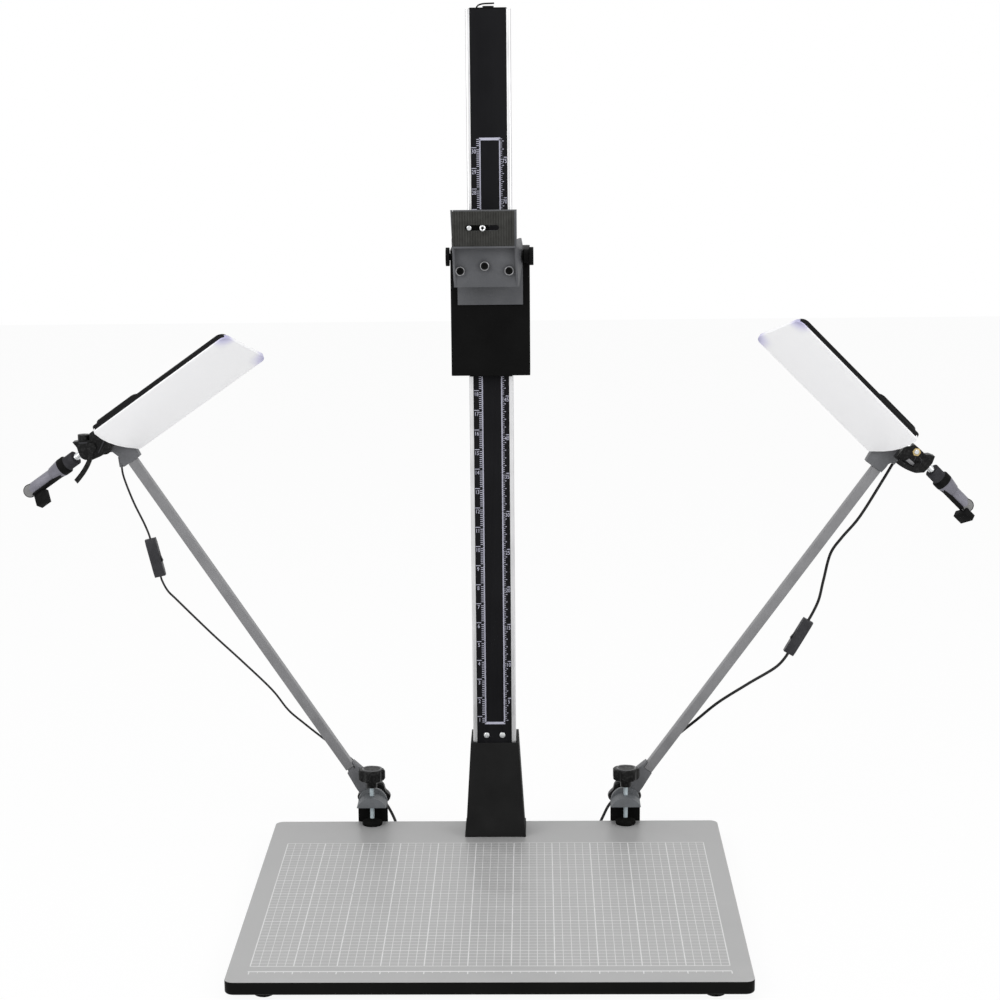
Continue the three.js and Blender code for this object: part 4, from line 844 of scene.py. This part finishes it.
def make_cords(name, side, frames):
    sign = side["sign"]
    down = (frames["switch"].to_3x3() @ Vector((0, 0, -1))).normalized()
    top = Vector(side["switch_top"])
    above = [top - down * (GAP + CORD_WIDE), top - down * GAP]
    leave = SWITCH_LENGTH + GAP
    below = [top + down * leave, top + down * (leave + CORD_WIDE)]
    upper = smooth_line([Vector(p) for p in side["top"]] + above)
    lower = smooth_line(below + [Vector(p) for p in side["middle"]])
    entry, turns = coil_line(sign)
    meet = entry + Vector((sign * GAP, 0, 0))
    before = meet + Vector((sign * 2 * CORD_WIDE, 0, 0))
    lead = before + Vector((sign * 3 * CORD_WIDE, CORD_WIDE, 0))
    tail = smooth_line([Vector(p) for p in side["tail"]] + [lead, before, meet])
    coiled = tail + [entry] + turns
    arm, base = f"arm_{name}", "base"
    plug, switch = frame["nodes"][f"plug_{name}"], frame["nodes"][f"cord_switch_{name}"]
    pieces = [
        ("flex_upper", upper, None, arm, f"cord_top_{name}", "object", "hanging", []),
        ("flex_lower", lower, None, arm, f"cord_middle_{name}", "object", "hanging", [switch]),
        ("flex_coiled", coiled, len(tail) - 3, base, f"cord_tail_{name}", "plug", "coiled", [plug]),
    ]
    for label, line, level_from, body, node, far_end, lay, others in pieces:
        piece = flex(f"{label}_{name}", line, Vector(side["flat_on"]), level_from)
        hand_over(piece, flex_pvc, body, "cord", node)
        if label == "flex_coiled":
            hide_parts(f"cord_coil_{name}")


# Board, its feet and its print

BOARD_FOOT_X, BOARD_FOOT_Y = 257, 271.5
GRID_LEFT, GRID_RIGHT, GRID_FRONT, GRID_REAR = -275, 275, -248, 202
RULER_FRONT, RULER_REAR = -266, -263.5
INK = 0.06  # height of a line above the board
# Step, width, height and front end of the tick of the fine lines and of the strong ones
GRID_RULES = ((10, 0.7, INK, -269.5), (50, 1.3, 1.5 * INK, -273))


def make_board():
    board = block("board", (-BOARD["x"], -BOARD["y"], -BOARD["thick"]), (BOARD["x"], BOARD["y"], 0))
    round_edges(board, lambda a, b: abs(a.z - b.z) > 1, BOARD["corner"], 10)
    round_edges(board, lambda a, b: min(a.z, b.z) > -1, BOARD["top_edge"], 3)
    round_edges(board, lambda a, b: max(a.z, b.z) < 1 - BOARD["thick"], BOARD["lower_edge"], 5)
    hand_over(board, edge_band, "base", "laminate", "baseboard")
    paint(board, laminate, lambda centre, normal: normal.z > 0.4)
    smooth(board)


def make_board_feet():
    foot = turned("foot_pattern", [
        (4, FLOOR_Z + 1.2), (5, FLOOR_Z + 0.2), (9.8, FLOOR_Z), (11.1, FLOOR_Z + 0.7),
        (11.5, FLOOR_Z + 2.4), (11.2, -17.2), (10.4, -16),
    ])
    for end, y in (("front", -BOARD_FOOT_Y), ("rear", BOARD_FOOT_Y)):
        for name, x in (("left", -BOARD_FOOT_X), ("right", BOARD_FOOT_X)):
            made = copy_of(foot, f"rubber_foot_{end}_{name}", move(x, y, 0))
            hand_over(smooth(made), rubber, "base", "rubber", f"board_foot_{end}_{name}")
    bpy.data.objects.remove(foot)


def make_grid():
    """Ruled field, and a line with ticks along the board's front edge."""
    lines, ticks = [], []
    for step, wide, high, tick_front in GRID_RULES:
        columns = (GRID_RIGHT - GRID_LEFT) // step + 1
        rows = (GRID_REAR - GRID_FRONT) // step + 1
        across = block("across", (GRID_LEFT, GRID_FRONT, 0), (GRID_LEFT + wide, GRID_REAR, high))
        repeat(across, columns, (step, 0, 0))
        settle(across, move(-wide / 2, 0, 0))
        along = block("along", (GRID_LEFT, GRID_REAR, 0), (GRID_RIGHT, GRID_REAR + wide, high))
        repeat(along, rows, (0, -step, 0))
        settle(along, move(0, -wide / 2, 0))
        lines += [across, along]
        tick = block("tick", (GRID_LEFT, tick_front, 0), (GRID_LEFT + wide, RULER_FRONT, high))
        ticks.append(repeat(tick, columns, (step, 0, 0)))
    ruler = block("ruler", (GRID_LEFT - 1, RULER_FRONT, 0), (GRID_RIGHT + 1, RULER_REAR, INK))
    hand_over(join("printed_grid", *lines, ruler, *ticks), grid_ink, "base", "laminate")


# Column: profile, strip, printed scale, cap, foot and screws

SCALE_LOW, SCALE_HIGH = 157, 913.3
SCALE_LEFT, SCALE_RIGHT = -11.3, 13.1
SCALE_ZERO = 140.7
INCH = 25.4
SIDE_LINE = 1.1
# Left and right end, height of the first, thickness, number and pitch of each row of marks
SCALE_MARKS = (
    (SCALE_LEFT - SIDE_LINE, SCALE_RIGHT + SIDE_LINE, SCALE_LOW, 3.2, 1, 0),
    (SCALE_LEFT - SIDE_LINE, SCALE_RIGHT + SIDE_LINE, SCALE_HIGH, 3.2, 1, 0),
    (-15.8, SCALE_LEFT, SCALE_ZERO + 0.7 * INCH, 0.8, 298, INCH / 10),
    (-22.4, SCALE_LEFT, SCALE_ZERO + INCH, 0.8, 30, INCH),
    (SCALE_RIGHT, 16.4, SCALE_ZERO + 20, 0.6, 302, 2.5),
    (SCALE_RIGHT, 18.4, SCALE_ZERO + 20, 0.8, 76, 10),
    (SCALE_RIGHT, 22.4, SCALE_ZERO + 50, 0.9, 15, 50),
)
INCH_NUMBERS, CENTIMETRE_NUMBERS = 30, 15
INCH_NUMBER_X, CENTIMETRE_NUMBER_X = -19.3, 19.4
NUMBER_SIZE = 7.28
NUMBER_NARROW = 0.82
NUMBER_DROP = 1.2  # from a mark down to its number

FOOT_SCREW_Y, FOOT_SCREW_Z = COLUMN_FRONT - 0.3, 140.7
FOOT_SCREWS = ((-10.4, -11.2), (10.4, 51.2))  # x and turn of each
FOOT_BAR = ((-17, 234.3, 135.7), (17, 237.3, 145.7))


def make_number(text, x, z):
    """A generic number in the print on the column."""
    bpy.ops.object.select_all(action="DESELECT")
    bpy.ops.object.text_add()
    label = bpy.context.object
    label.data.body = text
    label.data.align_x = "CENTER"
    label.data.align_y = "TOP"
    label.data.size = NUMBER_SIZE * MM
    label.data.extrude = INK * MM
    label.data.resolution_u = 3
    bpy.ops.object.convert(target="MESH")
    narrow = Matrix.Diagonal((NUMBER_NARROW, 1, 1, 1))
    label = settle(bpy.context.object, facing_front(x, COLUMN_FRONT, z) @ narrow)
    return operate_on_all(
        label, lambda: bpy.ops.mesh.remove_doubles(threshold=DOUBLES), face_outwards
    )


def make_scale():
    """Printed side lines, marks and numbers: inches on the left, centimetres on the right."""
    front, back = COLUMN_FRONT - INK, COLUMN_FRONT + INK
    pieces = [
        block("side", (low, front, SCALE_LOW), (high, back, SCALE_HIGH))
        for low, high in (
            (SCALE_LEFT - SIDE_LINE, SCALE_LEFT + SIDE_LINE / 2),
            (SCALE_RIGHT - SIDE_LINE / 2, SCALE_RIGHT + SIDE_LINE),
        )
    ]
    for left, right, z, thick, count, pitch in SCALE_MARKS:
        made = block("mark", (left, front, z - thick / 2), (right, back, z + thick / 2))
        pieces.append(repeat(made, count, (0, 0, pitch)))
    for n in range(1, INCH_NUMBERS + 1):
        z = SCALE_ZERO + INCH * n - NUMBER_DROP
        pieces.append(make_number(str(n), INCH_NUMBER_X, z))
    for n in range(1, CENTIMETRE_NUMBERS + 1):
        z = SCALE_ZERO + 50 * n - NUMBER_DROP
        pieces.append(make_number(str(5 * n), CENTIMETRE_NUMBER_X, z))
    hand_over(join("printed_scale", *pieces), scale_ink, "base", "black_paint")


def make_foot_screws():
    """Two cross-head screws and the nut bar that holds them."""
    head = turned("head", [(3.9, 0), (4, 0.5), (3.6, 1.3), (2.6, 1.8), (1.6, 2)])
    carve(
        head,
        block("slot", (-2.1, -0.45, 0.9), (2.1, 0.45, 3)),
        block("slot", (-0.45, -2.1, 0.9), (0.45, 2.1, 3)),
    )
    shank = turned("shank", [(1.9, -6.5), (1.9, 0.4)], 16)
    pair = []
    for x, turn in FOOT_SCREWS:
        place = facing_front(x, FOOT_SCREW_Y, FOOT_SCREW_Z) @ turn_about("Z", turn)
        pair += [copy_of(head, "head", place), copy_of(shank, "shank", place)]
    screws = smooth(join("foot_screw_pair", *pair, block("bar", *FOOT_BAR)))
    hand_over(screws, nickel, "base", "chrome", "foot_screws")
    bpy.data.objects.remove(head)
    bpy.data.objects.remove(shank)


def make_column():
    dressed("column", "column_profile", anodised, "aluminium", 0.5)
    dressed("scale_strip", "scale_panel", black_strip, "black_paint", 0.25)
    dressed("column_cap", "end_cap", black_abs, "black_plastic", 0.3)
    dressed("column_foot", "foot_casting", foot_coat, "black_paint", 0.9, 3)
    make_scale()
    make_foot_screws()


# Carriage, bracket and their fittings

PLATE_FACE = 169
BOLTS = ((-36.4, 175.7, 754.2), (-6, 175.7, 760.3), (24.4, 175.7, 754.2))
SCREW_TIP = (-7.8, 162.2, 807.8)
SCREW_RECESS = (173, 176)
SLIDER_PIN = (-24.5, 166.8, 807.8)


def make_carriage():
    dressed("carriage_sleeve", "carriage_body", black_coat, "black_paint", 0.6, 3)
    dressed("carriage_lock_knob", "carriage_knob", black_abs, "black_plastic", 0.8, 3)
    dressed("bracket_mount", "mount_plate", grey_coat, "grey_paint", 0.4)
    dressed("tilt_bracket", "camera_bracket", grey_coat, "grey_paint", 0.35)
    dressed("rubber_pad", "camera_pad", pad_rubber, "pad_rubber", 0.15)
    dressed("bracket_bolts", "socket_bolts", black_abs, "grey_paint", 0.4)
    carrier = dressed("screw_slider", "screw_carrier", black_coat, "aluminium", 0.2)
    paint(carrier, nickel, lambda centre, normal: centre.y < PLATE_FACE)
    screw = dressed("camera_screw", "tripod_screw", nickel, "chrome", 0.3)
    shallow, deep = SCREW_RECESS
    paint(screw, black_abs, lambda centre, normal: shallow < centre.y < deep and normal.y < -0.5)
    rim = turned("rim", [(4.6, 0), (4.7, 0.6), (5.3, 0.75), (5.8, 0.3), (5.8, 0)], bored=True)
    rims = [copy_of(rim, "rim", facing_front(*place)) for place in BOLTS]
    hand_over(smooth(join("bolt_rims", *rims)), dull_steel, "bracket", "chrome")
    bpy.data.objects.remove(rim)
    tip_profile = [(1.9, 0), (1.9, 1.4), (2.6, 1.7), (3.6, 1.2), (3.9, 0.4), (3.8, 0)]
    tip = settle(turned("screw_tip", tip_profile, bored=True), facing_front(*SCREW_TIP))
    hand_over(tip, nickel, body_of("camera_screw"), "chrome")
    eye = turned("screw_eye", [(1.85, 0), (1.85, 1.4), (1.2, 1.5)], 24)
    settle(eye, facing_front(*SCREW_TIP))
    hand_over(eye, black_abs, body_of("camera_screw"), "black_plastic")
    pin = turned("slider_pin_cap", [(2.2, 2), (2.8, 1.7), (2.9, 0.3), (2.6, 0)], 32)
    settle(pin, facing_front(*SLIDER_PIN))
    hand_over(pin, nickel, body_of("screw_slider"), "aluminium")
    dressed("tilt_bolt", "tilt_axle", black_abs, "black_plastic", 0.7, 3)
    dressed("tilt_knob", "tilt_grip", black_abs, "black_plastic", 0.7, 3)


# Clamps, arms, heads and lamps of one side

JAW_UNDERSIDE = 27.2
JAW_TOP = 41.5
PAD_TOP = 9.3
BEZEL_EDGE = -16

# On the swivel block's front: places across it and up, and heights out of it
BLOCK_FACE = 32.6
NUT_PLACE = (3.4, 15, 0)
NUT_RADIUS, NUT_FACE = 6.4, 32.7
STRAP = [(0.4, -2.6), (2.3, 2.5), (11.4, 2.3), (13.8, 0.4), (12, -1.6), (6, -2.4)]
STRAP_LOW, STRAP_HIGH = 32, 33.3
# Raised ribs on the block's front, in paler plastic as painted highlights: line, width and height
# of each
HIGHLIGHT_RIBS = {
    "left": [
        ([(18.2, 26.9), (8.6, 19.9)], 2.2, 33.4),
        ([(-9.5, 8.0), (-2.2, 4.6), (4.7, 1.8), (6.9, 0.9)], 1.7, 34.2),
    ],
    "right": [
        ([(10.7, 12.5), (16.7, 10.7), (17.9, 6.6)], 1.4, 33.6),
        ([(6.5, 10.5), (9, 4.2)], 1.2, 33.5),
    ],
}

# Along the handle's axis and out from it, in the lamp's own frame
SHAFT_FROM, SHAFT_RADIUS = -43.8, 6
COLLAR_FROM = -56.5
BELL_FROM, BELL_TO, BELL_RADIUS = -82.2, -65.6, 8.9
CAP_FACING = (0.46, 0.68, -0.57)  # the way the tube's cut end faces
CAP_REACH, CAP_RADIUS = 9, 7


def on_block(frames):
    """The plane of a swivel block's front: X across, Y up and Z towards the viewer."""
    return frames["swivel"] @ turn_about("X", 90)


def ridge(line, width, sign, high):
    """A raised rib along a line on a swivel block's front."""
    points = [Vector((sign * x, z)) for x, z in line]
    sides = []
    for i, point in enumerate(points):
        ahead = (points[min(i + 1, len(points) - 1)] - points[max(i - 1, 0)]).normalized()
        sides.append((point, Vector((-ahead.y, ahead.x)) * width / 2))
    outline = [tuple(p + o) for p, o in sides] + [tuple(p - o) for p, o in reversed(sides)]
    return ease(plate("ridge", outline, BLOCK_FACE - 0.4, high), 0.4)


def make_clamp(name):
    frame_name, label = f"clamp_frame_{name}", f"clamp_casting_{name}"
    casting = dressed(frame_name, label, clamp_grey, "grey_paint", 0.8, 3)
    # Front-facing faces under the jaw get the black coat: black paint inside the clamp, and painted
    # shade under the jaw
    paint(casting, black_coat, lambda centre, normal: centre.z < JAW_UNDERSIDE and normal.y < -0.4)
    # The cheek's front and back faces above the jaw are painted paler, as light falling on them
    paint(casting, cheek_painted_light, lambda centre, normal: centre.z > JAW_TOP and abs(normal.y) > 0.5)
    spindle = dressed(f"clamp_screw_{name}", f"clamp_spindle_{name}", zinc, "chrome", 0.3)
    paint(spindle, rubber, lambda centre, normal: centre.z < PAD_TOP)
    dressed(f"clamp_knob_{name}", f"clamp_grip_{name}", nylon_painted_glints, "black_plastic", 0.9, 3)
    low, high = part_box(f"clamp_knob_{name}")
    middle = ((low[0] + high[0]) / 2 / MM, (low[1] + high[1]) / 2 / MM, high[2] / MM)
    # A raised rim round the knob's top, in the paler plastic as a painted highlight
    profile = [(10.8, -0.4), (11.2, 0.5), (12.4, 0.9), (13.4, 0.4), (13.6, -0.4)]
    rim = settle(turned(f"knob_highlight_rim_{name}", profile, bored=True), move(*middle))
    hand_over(rim, switch_side, body_of(f"clamp_knob_{name}"), "black_plastic")


def make_swivel(name, sign, frames):
    """Swivel block, its pale ribs painted highlights; the right one has a brass ring nut with a
    nickel dome as its highlight and a bare strap beside it.
    """
    node, label = f"swivel_block_{name}", f"swivel_body_{name}"
    block_piece = dressed(node, label, nylon_painted_glints, "black_plastic", 0.9, 3)
    body = body_of(node)
    # Paler raised ribs: painted highlights on the black block
    highlight_ribs = [ridge(line, width, sign, high) for line, width, high in HIGHLIGHT_RIBS[name]]
    highlight_ribs = join(f"block_highlight_ribs_{name}", *highlight_ribs)
    hand_over(settle(highlight_ribs, on_block(frames)), switch_grey, body, "black_plastic")
    if name == "right":
        ring_place = on_block(frames) @ move(*NUT_PLACE)
        paint(block_piece, brass, within(
            ring_place, lambda centre, normal: centre.xy.length < NUT_RADIUS and centre.z > NUT_FACE
        ))
        # A bright nickel dome on the nut's face, put there as the nut's highlight
        highlight_dome = turned("nut_highlight_dome", [(3.2, 34.6), (3.2, 35.6), (2.7, 36.2), (1.2, 36.5)], 32)
        hand_over(settle(highlight_dome, ring_place), nickel, body, "chrome")
        strap = ease(plate("bare_strap", STRAP, STRAP_LOW, STRAP_HIGH), 0.3)
        hand_over(settle(strap, on_block(frames)), arm_paint, body, "arm_paint")
    dressed(f"swivel_lever_{name}", f"lever_{name}", nylon_painted_glints, "black_plastic", 0.8, 3)


def make_lamp(name, frames):
    """Lamp shell, and the diffuser with the black bezel that is moulded round it."""
    dressed(f"lamp_housing_{name}", f"lamp_shell_{name}", gloss_abs, "black_plastic", 0.5, 3)
    panel = opal(f"opal_acrylic_{name}", frames["lamp"])
    cover = dressed(f"lamp_diffuser_{name}", f"lamp_panel_{name}", panel, "diffuser", 0.3)
    back = frames["lamp"].inverted()
    seam = frames["lamp"] @ Vector((0, 0, BEZEL_EDGE * MM))
    across = (frames["lamp"].to_3x3() @ Vector((0, 0, 1))).normalized()
    operate_on_all(cover, lambda: bpy.ops.mesh.bisect(plane_co=seam, plane_no=across))

    def bezel(centre, normal):
        higher = (back @ (centre * MM)).z > BEZEL_EDGE * MM
        return higher and normal.z > 0.3 and abs((back.to_3x3() @ normal).y) > 0.7

    paint(cover, gloss_abs, bezel)


def make_handle(name, side, frames):
    """Handle tube with its shaft and end plug, and the grip's collar, ring and bell."""
    lamp = frames["lamp"]
    facing = Vector((CAP_FACING[0], side["sign"] * CAP_FACING[1], CAP_FACING[2])).normalized()
    end = Vector((-side["rod_end"], 0, 0))
    tube = dressed(f"handle_rod_{name}", f"handle_tube_{name}", handle_paint, "arm_paint", 0.4)

    def on_shaft(centre, normal):
        return centre.x > SHAFT_FROM and centre.yz.length < SHAFT_RADIUS

    def on_cap(centre, normal):
        near = (centre - end - CAP_REACH * facing).length < CAP_RADIUS
        return near and normal.dot(facing) > 0.5

    def on_bell(centre, normal):
        along = BELL_FROM < centre.x < BELL_TO
        return along and abs(normal.x) < 0.9 and centre.yz.length > BELL_RADIUS

    paint(tube, nickel, within(lamp, on_shaft))
    paint(tube, end_plug, within(lamp, on_cap))
    profile = [(8, 5.9), (9, 5.9), (9.1, 7.3), (8, 7.5)]
    upright = Vector((0, 0, 1)).rotation_difference(facing).to_matrix().to_4x4()
    ring = turned(f"end_plug_ring_{name}", profile, bored=True)
    settle(ring, lamp @ move(*end) @ upright)
    hand_over(ring, rubber, f"lamp_{name}", "black_plastic")
    grip = dressed(f"handle_grip_{name}", f"handle_bell_{name}", black_abs, "black_plastic", 0.6)
    paint(grip, collar_grey, within(lamp, lambda centre, normal: centre.x > COLLAR_FROM))
    paint(grip, bell_grey, within(lamp, on_bell))


def make_side(name, side, frames):
    make_clamp(name)
    dressed(f"arm_bracket_{name}", f"arm_knuckle_{name}", cast_grey, "grey_paint", 0.6, 3)
    dressed(f"arm_tube_{name}", f"arm_profile_{name}", arm_paint, "arm_paint", 0.6, 3)
    dressed(f"arm_casting_{name}", f"arm_head_casting_{name}", cast_grey, "grey_paint", 0.6, 3)
    dressed(f"arm_lock_knob_{name}", f"arm_knob_{name}", nylon_painted_glints, "black_plastic", 0.9, 3)
    make_swivel(name, side["sign"], frames)
    make_lamp(name, frames)
    make_handle(name, side, frames)
    node, label = f"cord_switch_{name}", f"switch_body_{name}"
    switch = dressed(node, label, switch_grey, "black_plastic", 1.2, 4)
    paint(switch, switch_side, within(frames["switch"], lambda centre, normal: normal.y > 0.7))
    dressed(f"switch_rocker_{name}", f"switch_key_{name}", gloss_abs, "black_plastic", 0.4)
    dressed(f"plug_{name}", f"plug_body_{name}", black_abs, "black_plastic", 0.5, 3)


# Light and floor

ROOM_LIGHT = 0.62  # of the white that a viewer sees
FLOOR_GLOW = 0.92
FLOOR_SIZE = 14  # metres
FLOOR_DROP = 0.05
AIM_POINT = (0, 0, 0.45)
# Name, place and size in metres, and power of each lamp of the room
SOFTBOXES = (
    ("softbox_left", (-2.2, -2.4, 2.2), 1.8, 34),
    ("softbox_right", (2.4, -2.2, 1.9), 1.8, 26),
    ("softbox_top", (0, -0.4, 3.2), 2.2, 22),
)


def white_for_viewers(tree):
    """1 for rays that see the background directly, mirrored or through a piece, else 0."""
    path = add(tree, "ShaderNodeLightPath")
    first = add(
        tree, "ShaderNodeMath", {"operation": "MAXIMUM"},
        {0: path.outputs["Is Camera Ray"], 1: path.outputs["Is Glossy Ray"]},
    )
    both = add(
        tree, "ShaderNodeMath", {"operation": "MAXIMUM"},
        {0: first.outputs[0], 1: path.outputs["Is Transmission Ray"]},
    )
    return both.outputs[0]


def light_scene():
    world = bpy.data.worlds.new("studio")
    world.use_nodes = True
    tree = world.node_tree
    tree.nodes.clear()
    strength = add(
        tree, "ShaderNodeMapRange", {"To Min": ROOM_LIGHT, "To Max": 1},
        {"Value": white_for_viewers(tree)},
    )
    shine = add(
        tree, "ShaderNodeBackground", {"Color": (1, 1, 1, 1)}, {"Strength": strength.outputs[0]}
    )
    add(tree, "ShaderNodeOutputWorld", {}, {"Surface": shine.outputs[0]})
    bpy.context.scene.world = world
    for name, place, size, power in SOFTBOXES:
        bpy.ops.object.light_add(type="AREA", location=place)
        lamp = bpy.context.object
        lamp.name = name
        lamp.data.size = size
        lamp.data.energy = power
        away = Vector(place) - Vector(AIM_POINT)
        lamp.rotation_euler = away.to_track_quat("Z", "Y").to_euler()


def make_floor():
    bpy.ops.object.select_all(action="DESELECT")
    place = (0, 0, (FLOOR_Z - FLOOR_DROP) * MM)
    bpy.ops.mesh.primitive_plane_add(size=FLOOR_SIZE, location=place)
    floor = bpy.context.object
    floor.name = "studio_floor"
    made, tree = new_material("white_floor")
    mat = add(tree, "ShaderNodeBsdfDiffuse", {"Color": linear("#fafafa")})
    glow = add(tree, "ShaderNodeEmission", {"Color": (1, 1, 1, 1), "Strength": 1})
    share = add(
        tree, "ShaderNodeMath", {"operation": "MULTIPLY", 1: FLOOR_GLOW},
        {0: white_for_viewers(tree)},
    )
    mixed = add(
        tree, "ShaderNodeMixShader", {},
        {0: share.outputs[0], 1: mat.outputs[0], 2: glow.outputs[0]},
    )
    add(tree, "ShaderNodeOutputMaterial", {}, {"Surface": mixed.outputs[0]})
    wear(floor, made)


aim_camera()
for side_name, side_facts in SIDES.items():
    make_cords(side_name, side_facts, side_frames(side_facts))
make_board()
make_board_feet()
make_grid()
make_column()
make_carriage()
for side_name, side_facts in SIDES.items():
    make_side(side_name, side_facts, side_frames(side_facts))
light_scene()
make_floor()
bpy.context.scene.view_settings.view_transform = "Standard"
